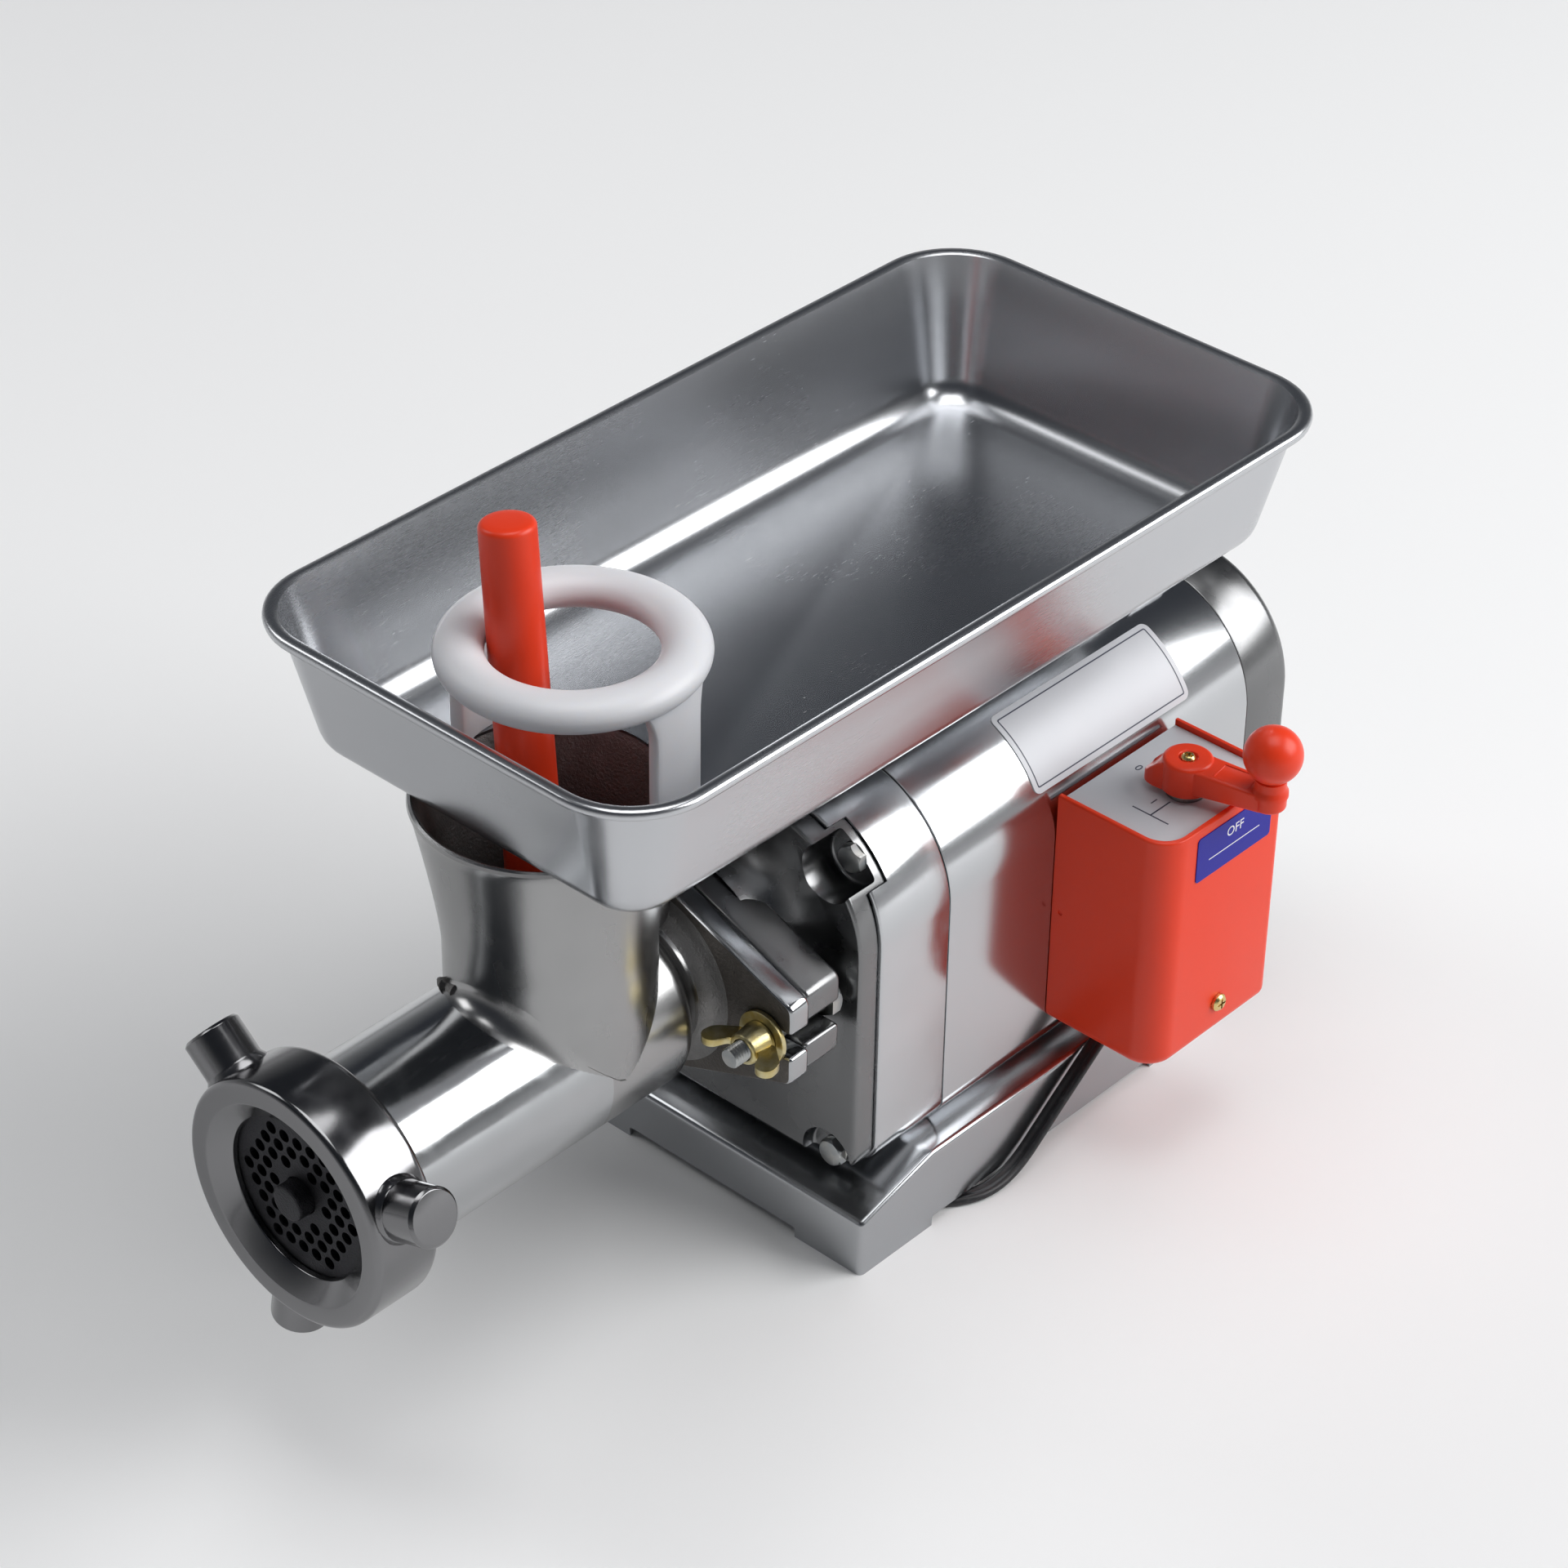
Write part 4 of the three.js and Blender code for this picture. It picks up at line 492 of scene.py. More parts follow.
# feed head
head = {
    "barrelRadius": 36,
    "barrelBore": 31,
    "collarRadius": 40,
    "barrelFront": -137.3,
    "collarBack": -121.5,
    "plateSeat": 35.1,
    "plateSeatBack": -133.3,
    "barrelBack": 15,
    "boreBack": 8,
    "hubRadius": 27,
    "shaftHole": 11.3,
    "neckY": -21.5,
    "neckRadius": 37.5,
    "neckBore": 32.5,
    "neckStraightTop": 165,
    "neckTop": 223.5,
    "neckSteps": 36,
    "gatherHeight": 30,
    "gatherPower": 1.5,
    "flarePower": 1.3,
    "mouthRadius": 47.5,
    "mouthWall": 3,
    "mouthLip": [(0, 1.6), (0.4, 0.4), (1.4, 0), (2.2, 0.3), (2.8, 1.4)],
    "flangeThickness": 10,
    "flangeTip": 66,
    "tipHalf": 16.6,
    "flangeRise": 42.3,
    "slotHalf": 5.2,
    "tipCorner": 4,
    "crownCorner": 14,
    "ribHalf": 8,
    "ribFront": -4,
    "clampPlace": 54,
    "weldSteps": 96,
    "weldRadius": 2.4,
    "weldStart": (-68, 0.7),
    "weldEnd": (38, 0.6),
    "weldRipples": [(0.5, 0.83, 0), (0.45, 1.9, 0), (0.3, 3.7, 1)],
    "satinAhead": 6,
    "filletSmall": 2.5,
    "filletLarge": 13,
    "filletTuck": 0.05,
    "filletCore": 0.06,
    "filletSteps": 64,
    "filletSpread": 1.3,
    "segments": 128,
}


def barrelShell(h):
    front, radius, collar = h["barrelFront"], h["barrelRadius"], h["collarRadius"]
    seat, bore = clampFace - h["flangeThickness"], h["barrelBore"]
    outline = rounded([
        (h["plateSeat"], front, 0.5), (collar, front, 0.8), (collar, h["collarBack"], 0.8),
        (radius, h["collarBack"], 2), (radius, h["barrelBack"] - 3, 7), (h["hubRadius"], h["barrelBack"] + 5, 6),
        (h["hubRadius"], seat - 1, 7), (radius, seat), (radius, clampFace - 1), (h["shaftHole"], clampFace - 1),
        (h["shaftHole"], h["boreBack"]), (bore, h["boreBack"], 3), (bore, h["plateSeatBack"], 0.4),
        (h["plateSeat"], h["plateSeatBack"]),
    ])
    return spun(outline, "Y", outputPlace, h["segments"])


# radius of the neck at a height: straight, then flaring like a horn
def neckAt(h, z, wall=0):
    swell = max(0, (z - h["neckStraightTop"]) / (h["neckTop"] - h["neckStraightTop"]))
    gather = max(0, 1 - (z - outputAxis.z) / h["gatherHeight"])
    straight = h["neckRadius"] - (h["neckRadius"] - h["barrelRadius"]) * gather ** h["gatherPower"]
    wall = wall * (1 - swell) + min(wall, h["mouthWall"]) * swell
    return straight + (h["mouthRadius"] - h["neckRadius"]) * swell ** h["flarePower"] - wall


def neckShell(h):
    rise = h["neckTop"] - outputAxis.z
    heights = [outputAxis.z + rise * i / h["neckSteps"] for i in range(h["neckSteps"])]
    wall = h["neckRadius"] - h["neckBore"]
    outer = [(neckAt(h, z), z) for z in heights]
    inner = [(neckAt(h, z, wall), z) for z in reversed(heights)]
    lip = [(h["mouthRadius"] - inset, h["neckTop"] - drop) for inset, drop in h["mouthLip"]]
    return spun(outer + lip + inner, "Z", (0, h["neckY"], 0), h["segments"])


# the hexagon-shaped flange with a slot open at each tip
def clampPlate(tip, half, rise, front, back, settings, edge=1.6):
    corner, crown = settings["tipCorner"], settings["crownCorner"]
    outline = rounded([
        (tip, -half, corner), (tip, half, corner), (0, rise, crown),
        (-tip, half, corner), (-tip, -half, corner), (0, -rise, crown),
    ])
    plate = prism([(x, z + outputAxis.z) for x, z in outline], "Y", front, back)
    slot = settings["slotHalf"]
    bend = slot * 0.98
    cutters = []
    for side in (1, -1):
        near, far = side * (settings["clampPlace"] - slot), side * (tip + 9)
        hole = rounded([(near, -slot, bend), (far, -slot), (far, slot), (near, slot, bend)])
        cutters.append(prism([(x, z + outputAxis.z) for x, z in hole], "Y", front - 5, back + 5))
    return softened(combined(plate, *cutters), edge, 3, 50)


def rib(h, side):
    z = outputAxis.z + side * h["barrelRadius"]
    middle = outputAxis.z + side * 10
    bar = block((-h["ribHalf"], h["ribFront"], min(z, middle)),
                (h["ribHalf"], clampFace - h["flangeThickness"] + 1, max(z, middle)))
    return softened(bar, 2.5, 3, 30)


# lumps of weld along the left and top of the corner where neck and barrel meet
def weldBead(h):
    (start, fadeIn), (end, fadeOut) = h["weldStart"], h["weldEnd"]
    rings = []
    for i in range(h["weldSteps"] + 1):
        angle = math.pi * (-0.5 + i / h["weldSteps"])
        x = h["barrelRadius"] * math.sin(angle)
        z = outputAxis.z + h["barrelRadius"] * math.cos(angle)
        reach = math.sqrt(max(0, neckAt(h, z) ** 2 - x * x))
        ripple = sum(size * math.sin(i * pace + shift) for size, pace, shift in h["weldRipples"])
        fade = min(1, max(0, (math.radians(end) - angle) / fadeOut))
        fade *= min(1, max(0, angle - math.radians(start)) / fadeIn)
        size = max(0.3, (h["weldRadius"] + ripple) * fade)
        centre = Vector((x, h["neckY"] - reach, z))
        outward = Vector((math.sin(angle), 0, math.cos(angle)))
        forward = Vector((x, -reach, 0)).normalized()
        turns = [math.tau * k / 12 for k in range(12)]
        rings.append([centre + size * (outward * math.sin(turn) + forward * math.cos(turn)) for turn in turns])
    return lofted(rings)


# the smooth hollow beside the weld, as a ball would leave it, growing towards the right
def headFillet(h):
    rings = []
    for i in range(h["filletSteps"] + 1):
        angle = math.pi * (-0.5 + i / h["filletSteps"])
        share = min(1, max(0, 0.5 + angle / h["filletSpread"]))
        ball = h["filletSmall"] + (h["filletLarge"] - h["filletSmall"]) * share
        neckRadius = neckAt(h, outputAxis.z + h["barrelRadius"] * math.cos(angle)) - h["filletTuck"]
        barrelRadius = h["barrelRadius"] - h["filletTuck"]
        x = (barrelRadius + ball) * math.sin(angle)
        forward = math.sqrt(max(0, (neckRadius + ball) ** 2 - x * x))
        upward = math.sqrt(max(0, (barrelRadius + ball) ** 2 - x * x))
        onNeck, onBarrel = neckRadius / (neckRadius + ball), barrelRadius / (barrelRadius + ball)
        centre = Vector((x, h["neckY"] - forward, outputAxis.z + upward))
        start = Vector((x * onNeck, h["neckY"] - forward * onNeck, centre.z)) - centre
        end = Vector((x * onBarrel, centre.y, outputAxis.z + upward * onBarrel)) - centre
        arc = [centre + start.lerp(end, k / 12).normalized() * ball for k in range(13)]
        inner = Vector((x * onNeck * onBarrel, h["neckY"] - forward * onNeck, outputAxis.z + upward * onBarrel))
        middle = Vector((0, h["neckY"], outputAxis.z))
        rings.append(arc + [inner.lerp(middle, h["filletCore"])])
    return lofted(rings)


def addHead(h):
    def facesAxis(face):
        middle = face.calc_center_median()
        return Vector((middle.x, middle.y - h["neckY"], 0)).dot(face.normal) < -1

    bore = rod(h["barrelBore"], h["barrelFront"] + 6, h["boreBack"], "Y", outputPlace, 64)
    throat = rod(h["neckBore"], outputAxis.z - 2, h["neckStraightTop"], "Z", (0, h["neckY"], 0), 64)
    barrel = combined(barrelShell(h), throat)
    behind = h["neckY"] - h["satinAhead"]
    bmesh.ops.bisect_plane(barrel, geom=barrel.verts[:] + barrel.edges[:] + barrel.faces[:], dist=1e-5,
                           plane_co=(0, behind, 0), plane_no=(0, 1, 0))
    markFaces(barrel, lambda face: face.calc_center_median().y > behind, 2)
    markFaces(barrel, lambda face: face.calc_center_median().y > h["barrelBack"] and face.normal.y < -0.2)
    piece("headBarrel", barrel, "headCast", ["head_body"], extra=["grainyCast", "neckCast"])
    neck = combined(neckShell(h), bore)
    markFaces(neck, facesAxis)
    piece("headNeck", neck, "neckCast", extra=["grainyCast"])
    flange = clampPlate(h["flangeTip"], h["tipHalf"], h["flangeRise"], clampFace - h["flangeThickness"], clampFace, h)
    # the flange's forward faces take the near-black rough cast: real grain, with painted shade in its colour
    markFaces(flange, lambda face: face.normal.y < -0.9)
    piece("headFlange", flange, "headCast", sharp=50, extra=["flangeFrontPaintedShade"])
    piece("headRibs", together(rib(h, 1), rib(h, -1)), "grainyCast")
    piece("headFillet", headFillet(h), "neckCast", sharp=70)
    piece("headWeld", weldBead(h), "weldCast")
    print("feed head ready")


addHead(head)


# ring nut, grinding plate and the auger's end
ringNut = {
    "radius": 47,
    "front": -148.2,
    "back": -120.2,
    "opening": 31,
    "cone": 38.5,
    "lipBack": -140.6,
    "lip": 2,
    "threadRadius": 40.3,
    "lugs": 3,
    "firstLug": 20,
    "lugFoot": 42,
    "lugEnd": 63.5,
    "lugRadius": 10.5,
}


def addRingNut(r):
    radius, thread, lipBack = r["radius"], r["threadRadius"], r["lipBack"]
    ring = spun(rounded([
        (r["cone"], r["front"], 1.2), (radius, r["front"], 2.4), (radius, r["back"], 3.5), (thread, r["back"], 0.6),
        (thread, lipBack), (r["opening"], lipBack), (r["opening"], lipBack - r["lip"], 0.9),
    ]), "Y", outputPlace, 128)
    middle = (r["front"] + r["back"]) / 2
    size, foot, end = r["lugRadius"], r["lugFoot"], r["lugEnd"]
    lugs = []
    for i in range(r["lugs"]):
        lug = turned([
            (0, foot), (size + 1.6, foot), (size + 1.5, radius - 0.8), (size, radius + 1.6, 1.4),
            (size, end - 1.1, 0.5), (size - 1.1, end, 0.5), (0, end),
        ], "X", segments=40)
        moved(lug, turn=-math.radians(r["firstLug"] + 360 / r["lugs"] * i), axis="Y")
        lugs.append(moved(lug, (0, middle, outputAxis.z)))
    # the whole ring takes the darkened polished cast: painted shade
    piece("ringNut", together(ring, *lugs), "ringCastPaintedShade", ["ring_nut"], "ring", sharp=40)


grindingPlate = {
    "radius": 34.8,
    "front": -140.3,
    "back": -133.6,
    "hubHole": 7,
    "holeRadius": 2.4,
    "pitch": 6.4,
    "clearFromHub": 2.5,
    "clearFromRing": 0.8,
    "studOut": 6,
}


# rows of round holes on a triangular grid
def addGrindingPlate(p):
    body = spun(rounded([(p["hubHole"], p["front"], 0.4), (p["radius"], p["front"], 0.5), (p["radius"], p["back"]),
                         (p["hubHole"], p["back"])]), "Y", segments=96)
    rows = math.ceil(p["radius"] / p["pitch"]) + 1
    rowStep = p["pitch"] * math.sin(math.radians(60))
    cutter = bmesh.new()
    lay = Matrix.Rotation(math.pi / 2, 4, "X")
    for row in range(-rows, rows + 1):
        for column in range(-rows, rows + 1):
            x = (column + (0.5 if row % 2 else 0)) * p["pitch"]
            z = row * rowStep
            reach = math.hypot(x, z)
            if not (p["hubHole"] + p["holeRadius"] + p["clearFromHub"] < reach
                    < ringNut["opening"] - p["holeRadius"] - p["clearFromRing"]):
                continue
            place = Matrix.Translation((x, (p["front"] + p["back"]) / 2, z)) @ lay
            bmesh.ops.create_cone(cutter, cap_ends=True, segments=20, radius1=p["holeRadius"],
                                  radius2=p["holeRadius"], depth=p["back"] - p["front"] + 4, matrix=place)
    plate = combined(body, cutter)
    moved(plate, outputPlace)
    piece("grindingPlate", plate, "darkSteel", ["grinding_plate"], sharp=30)


addRingNut(ringNut)
addGrindingPlate(grindingPlate)


# the auger's own end stands out of the plate, so it gets a round cap
def addAugerEnd(p):
    reach = p["front"] - p["studOut"] - 0.3
    radius = p["hubHole"] - 0.15
    cap = turned([(0, reach), (radius, reach, 1.2), (radius, p["back"]), (0, p["back"])], "Y", outputPlace, 48)
    piece("augerEnd", cap, "darkSteel", body="output", sharp=30)


addAugerEnd(grindingPlate)
print("ring nut and plate ready")


# tray
tray = {
    "middleY": 107.5,
    "halfWidth": 96,
    "halfLength": 185.5,
    "rimCorner": 33,
    "floorCorner": 17,
    "lip": 4.5,
    "lean": 13.7,
    "sheet": 1.2,
    "top": 281,
    "bottom": 223.8,
    "floorBend": 9,
    "holeRadius": 39.8,
    "holeY": -18.5,
    "cornerSteps": 14,
}


# one rounded rectangle at a height
def trayRing(t, inset, radius, z):
    halfX = t["halfWidth"] - inset - radius
    halfY = t["halfLength"] - inset - radius
    ring = []
    for x, y, start in ((halfX, halfY, 0), (-halfX, halfY, 90), (-halfX, -halfY, 180), (halfX, -halfY, 270)):
        for step in range(t["cornerSteps"] + 1):
            angle = math.radians(start + 90 * step / t["cornerSteps"])
            ring.append((x + radius * math.cos(angle), t["middleY"] + y + radius * math.sin(angle), z))
    return ring


def addTray(t):
    floorTop = t["bottom"] + t["sheet"]
    depth = t["top"] - t["bottom"]

    def wall(shrink, low, down):
        return (t["lip"] + shrink + t["lean"] * down,
                t["rimCorner"] - t["lip"] - shrink + (t["floorCorner"] - t["rimCorner"] + t["lip"]) * down, low)

    inner = t["sheet"]
    profile = []
    for floor, shrink, size in ((floorTop, inner, t["floorBend"]), (t["bottom"], 0, t["floorBend"] + inner)):
        side = []
        for step in range(7):
            angle = math.radians(15 * step)
            rise = size * (1 - math.cos(angle))
            tuck = size * (1 - math.sin(angle))
            inset, radius, z = wall(shrink, floor + rise, min(1, (t["top"] - floor - rise) / depth))
            side.append((inset + tuck, max(2, radius - tuck), z))
        for share in (0.35, 0.6, 0.8):
            z = floor + size + (t["top"] - 4 - floor - size) * share
            side.append(wall(shrink, z, (t["top"] - z) / depth))
        profile.append(side)
    lip, top, corner = t["lip"], t["top"], t["rimCorner"]
    crest = [(lip + inner, top - 2.4), (lip + inner * 0.6, top - 0.8), (lip - 0.5, top - 0.1), (lip - 1.6, top),
             (1.2, top - 0.1), (0.3, top - 0.8), (0, top - 2), (0.3, top - 3.2), (1.2, top - 3.9), (2.2, top - 3.6),
             (lip - 1, top - 2.6), (lip, top - 3.2)]
    rim = [(inset, corner - inset, z) for inset, z in crest]
    bm = lofted([trayRing(t, *station) for station in profile[0] + rim + list(reversed(profile[1]))])
    hole = rod(t["holeRadius"], t["bottom"] - 3, floorTop + 3, "Z", (0, t["holeY"], 0), 96)
    piece("trayShell", combined(bm, hole), "satinSheet", ["tray"], "feed_tray", sharp=40)
    print("tray ready")


addTray(tray)


# guard and plunger
guard = {
    "y": -8,
    "height": 275,
    "radius": 38.2,
    "halfThickness": 8.8,
    "halfHeight": 6.5,
    "turn": 10,
    "legOuter": 44.5,
    "legThickness": 5,
    "legHalfAngle": 17,
    "legLength": 49.7,
    "flare": 7,
    "legEdge": 0.8,
    "legLevels": [-30, -18, -14, -11, -9, -7, -5, -2],
}


def guardLeg(g, side):
    steps = 10
    foot = -g["legLength"]
    rings = []
    for level in [foot, foot + 1, *g["legLevels"]]:
        spread = g["legHalfAngle"] + g["flare"] * max(0, (level + 17) / 15) ** 2
        edge = g["legEdge"] if level == foot else 0
        ring = []
        for radius, order in ((g["legOuter"] - edge, 1), (g["legOuter"] - g["legThickness"] + edge, -1)):
            for step in range(steps + 1):
                angle = math.radians((spread - edge) * order * (2 * step / steps - 1))
                ring.append((radius * math.cos(angle), radius * math.sin(angle), level))
        rings.append(ring)
    leg = lofted(rings)
    softened(leg, g["legEdge"], 2, 60, lambda edge: abs(edge.verts[0].co.z - edge.verts[1].co.z) > 0.5)
    return moved(leg, turn=0 if side > 0 else math.pi)


def addGuard(g):
    section = [(g["radius"] + g["halfThickness"] * math.cos(a), g["halfHeight"] * math.sin(a))
               for a in (math.tau * i / 32 for i in range(32))]
    hoop = spun(section, "Z", segments=96)
    whole = together(hoop, guardLeg(g, 1), guardLeg(g, -1))
    moved(whole, (0, g["y"], g["height"]), math.radians(g["turn"]))
    piece("guardHoop", whole, "whiteNylon", ["guard"], "hand_guard", sharp=55)


plunger = {
    "radius": 10.5,
    "topRadius": 9.9,
    "length": 170,
    "top": (-19.95, -17.6, 320),
    "lean": (-13, 4, 128),
    "topEdge": 2.2,
    "dome": 0.7,
}


def addPlunger(p):
    stick = turned([
        (0, -p["length"]), (p["radius"], -p["length"], 1.2), (p["topRadius"], 0, p["topEdge"]),
        (p["topRadius"] * 0.6, p["dome"] * 0.6, 6), (0, p["dome"]),
    ], "Z", segments=72)
    tilt = Vector((0, 0, 1)).rotation_difference(Vector(p["lean"])).to_matrix()
    bmesh.ops.rotate(stick, verts=stick.verts, cent=(0, 0, 0), matrix=tilt)
    moved(stick, p["top"])
    piece("plungerStick", stick, "redPlastic", ["plunger"], "pusher", sharp=50)


addGuard(guard)
addPlunger(plunger)
print("guard and plunger ready")


# motor housing: front casting, gear case band, shell and rear cover
housing = {
    "halfWidth": 66.5,
    "bottom": 35.8,
    "top": 181.5,
    "topRadius": 46,
    "lowRadius": 12,
    "plateInset": 1.2,
    "flangeBack": 58,
    "plateFront": 67,
    "plateBack": 77,
    "bandFront": 77.3,
    "bandBack": 114.2,
    "bandWall": 4,
    "shellFront": 114.5,
    "shellBack": 287.7,
    "shellSheet": 1,
    "rearFront": 288,
    "rearBack": 315,
    "rearWall": 3,
    "ventHalf": 22,
    "ventRows": (34, 24),
    "coverTip": 64,
    "coverRise": 41.56,
    "swellFront": 40,
    "swellBack": 61,
    "gap": 0.3,
    "pocketRadius": 11.5,
    "cupRadius": 13.5,
    "cupBack": 86,
    "bolts": [(48.5, 166.5, 82.4), (-48.5, 166.5, 82.4), (-51.5, 40, 72.6), (51.5, 40, 72.6)],
    "tieBolts": [(42, 160, 315), (-42, 160, 315), (-49, 43, 315), (49, 43, 315)],
    "caseWasher": (5.6, 0.5),
    "tieWasher": (5.9, 0.6),
    "boltRadius": 2.9,
    "boltHead": 10,
    "boltHeight": 4,
}


def housingOutline(s, inset, steps=20):
    half = s["halfWidth"] - inset
    low, top = s["bottom"] + inset, s["top"] - inset
    upper, lower = s["topRadius"] - inset, s["lowRadius"] - inset
    return rounded([(half, low, lower), (half, top, upper), (-half, top, upper), (-half, low, lower)], steps=steps)


def hollowBand(s, inset, wall, front, back, edge=0.5):
    outer = prism(housingOutline(s, inset), "Y", front, back)
    softened(outer, edge, 3, 60)
    inner = prism(housingOutline(s, inset + wall), "Y", front - 5, back + 5)
    return combined(outer, inner)


# a disc at each of the case's two deep bolts
def discs(s, radius, front, back):
    return together(*[rod(radius, front, back, "Y", (x, 0, z)) for x, z, seat in s["bolts"] if seat > s["plateBack"]])


# the front casting: clamp flange, a swelling neck and the plate with a pocket round each bolt, deep at the upper two
def addFrontCasting(s):
    front = clampFace + s["gap"]
    flange = clampPlate(s["coverTip"], head["tipHalf"], s["coverRise"], front, s["flangeBack"], head, 2)
    piece("coverFlange", flange, "plateCastPaintedShade", ["gear_cover"], sharp=50)
    plate = prism(housingOutline(s, s["plateInset"]), "Y", s["plateFront"], s["plateBack"])
    softened(plate, 1.4, 3, 60)
    neck, face, small, large = s["flangeBack"], s["plateFront"], s["swellFront"], s["swellBack"]
    swell = turned([(0, neck - 4), (small, neck - 4), (small, face - 6, 16), (large, face + 1.5, 2),
                    (large, face + 4), (0, face + 4)], "Y", outputPlace, 96, 12)
    cups = combined(discs(s, s["cupRadius"], face + 2, s["cupBack"]),
                    prism(housingOutline(s, s["plateInset"]), "Y", face, s["cupBack"] + 1),
                    operation="INTERSECT")
    wide = s["pocketRadius"]
    pockets = [turned([(0, neck - 3), (wide + 2.4, neck - 3), (wide, face + 1.4), (wide, seat, 1.5), (0, seat)],
                      "Y", (x, 0, z), 48) for x, z, seat in s["bolts"]]
    whole = combined(combined(plate, swell, cups, operation="UNION"), *pockets)
    piece("coverPlate", whole, "plateCastPaintedShade", sharp=40)


# a hexagon head with its corners turned off
def hexHead(size, height):
    bm = bmesh.new()
    bmesh.ops.create_cone(bm, cap_ends=True, segments=6, radius1=size / math.sqrt(3), radius2=size / math.sqrt(3),
                          depth=height, matrix=Matrix.Translation((0, 0, height / 2)))
    dome = spun([(0, -1), (size * 0.6, -1), (size * 0.6, height * 0.62), (size * 0.5, height * 0.93),
                 (size * 0.42, height), (0, height)], "Z", segments=48)
    return combined(bm, dome, operation="INTERSECT")


# ridges stand in for the thread: a profile that rises and falls once per pitch
def threaded(radius, start, end, pitch=1.25, depth=0.55):
    count = int(abs(end - start) / pitch)
    step = (end - start) / count
    profile = [(0, start), (radius - depth, start)]
    for i in range(count):
        profile.append((radius, start + step * (i + 0.5)))
        profile.append((radius - depth, start + step * (i + 1)))
    profile.append((0, end))
    return spun(profile, "Z", segments=28)


def lookAlong(bm, direction, place):
    turn = Vector((0, 0, 1)).rotation_difference(Vector(direction)).to_matrix()
    bmesh.ops.rotate(bm, verts=bm.verts, cent=(0, 0, 0), matrix=turn)
    return moved(bm, place)


def flatWasher(inner, outer, thickness):
    return spun(rounded([(inner, 0), (outer, 0, 0.3), (outer, thickness, 0.3), (inner, thickness)]), "Z", segments=48)


def addHousingBolts(s):
    rows = (("case", s["bolts"], -1, s["caseWasher"]), ("tie", s["tieBolts"], 1, s["tieWasher"]))
    for word, bolts, way, washer in rows:
        for i, (x, z, seat) in enumerate(bolts):
            bolt = together(hexHead(s["boltHead"], s["boltHeight"]), flatWasher(s["boltRadius"], *washer))
            lookAlong(bolt, (0, way, 0), (x, seat + way * s["gap"], z))
            piece(f"{word}Bolt{i + 1}", bolt, "zincSteel", [f"{word}_bolt_{i + 1}"], sharp=30)


def addRearCover(s):
    outer = prism(housingOutline(s, 0), "Y", s["rearFront"], s["rearBack"])
    middle = (s["rearFront"] + s["rearBack"]) / 2
    softened(outer, 5, 6, 60, lambda edge: all(v.co.y > middle for v in edge.verts))
    softened(outer, 0.5, 2, 60, lambda edge: all(v.co.y < s["rearFront"] + 0.1 for v in edge.verts))
    motorZ = jointPlace("motor_spin").z
    cutters = []
    for side in (-1, 1):
        for away in s["ventRows"]:
            z = motorZ + side * away
            vent = card((-s["ventHalf"], z - 2.5), (s["ventHalf"], z + 2.5), 2.4)
            cutters.append(prism(vent, "Y", s["rearBack"] - 9, s["rearBack"] + 3))
    hollow = prism(housingOutline(s, s["rearWall"]), "Y", s["rearFront"] - 4, s["rearBack"] - s["rearWall"])
    cover = combined(outer, hollow, *cutters)
    piece("rearCasting", cover, "plateCastPaintedShade", ["rear_cover"], sharp=40)


def addHousing(s):
    addFrontCasting(s)
    band = combined(hollowBand(s, 0, s["bandWall"], s["bandFront"], s["bandBack"], 0.9),
                    discs(s, s["cupRadius"] + s["gap"], s["bandFront"] - 3, s["cupBack"] + s["gap"]))
    piece("caseBand", band, "bandCast", ["gear_case"], sharp=40)
    shell = hollowBand(s, 0, s["shellSheet"], s["shellFront"], s["shellBack"], 0.3)
    piece("shellSheet", shell, "mirrorSheet", ["housing_shell"], sharp=40)
    addRearCover(s)
    addHousingBolts(s)
    print("housing ready")


addHousing(housing)


# base pan folded from sheet
basePan = {
    "halfWidth": 75.5,
    "front": 60,
    "length": 210,
    "lipHeight": 24.5,
    "topHeight": 35.5,
    "apron": 39,
    "sheet": 1.8,
    "fold": 2.2,
    "footLength": 40,
    "footWidth": 32.8,
    "notch": 4.3,
}


def panOutline(b, inset, low):
    front, back = b["front"], b["front"] + b["length"]
    lip, top = b["lipHeight"] - inset, b["topHeight"] - inset
    return [(front + inset, low), (back - inset, low), (back - inset, lip), (back - b["apron"], top),
            (front + b["apron"], top), (front + inset, lip)]


def addBasePan(b):
    outer = prism(panOutline(b, 0, 0), "X", -b["halfWidth"], b["halfWidth"])
    softened(outer, b["fold"], 5, 5, lambda edge: max(v.co.z for v in edge.verts) > 1)
    inner = prism(panOutline(b, b["sheet"], -5), "X", b["sheet"] - b["halfWidth"], b["halfWidth"] - b["sheet"])
    softened(inner, b["fold"] - 1.2, 3, 5, lambda edge: min(v.co.z for v in edge.verts) > 1)
    back = b["front"] + b["length"]
    reach = b["halfWidth"] - b["footWidth"]
    ends = block((-reach, b["front"] - 5, -5), (reach, back + 5, b["notch"]))
    sides = block((-b["halfWidth"] - 5, b["front"] + b["footLength"], -5),
                  (b["halfWidth"] + 5, back - b["footLength"], b["notch"]))
    pan = combined(outer, inner, softened(ends, 1, 2, 30), softened(sides, 1, 2, 30))
    piece("basePan", pan, "baseSheet", ["base_pan"], sharp=30)


addBasePan(basePan)


# tray support: a strap bent up from the shell
support = {
    "front": 256,
    "depth": 20,
    "halfWidth": 22,
    "foot": 10,
    "sheet": 2,
    "top": 223.5,
    "bend": 4,
    "gap": 0.3,
}


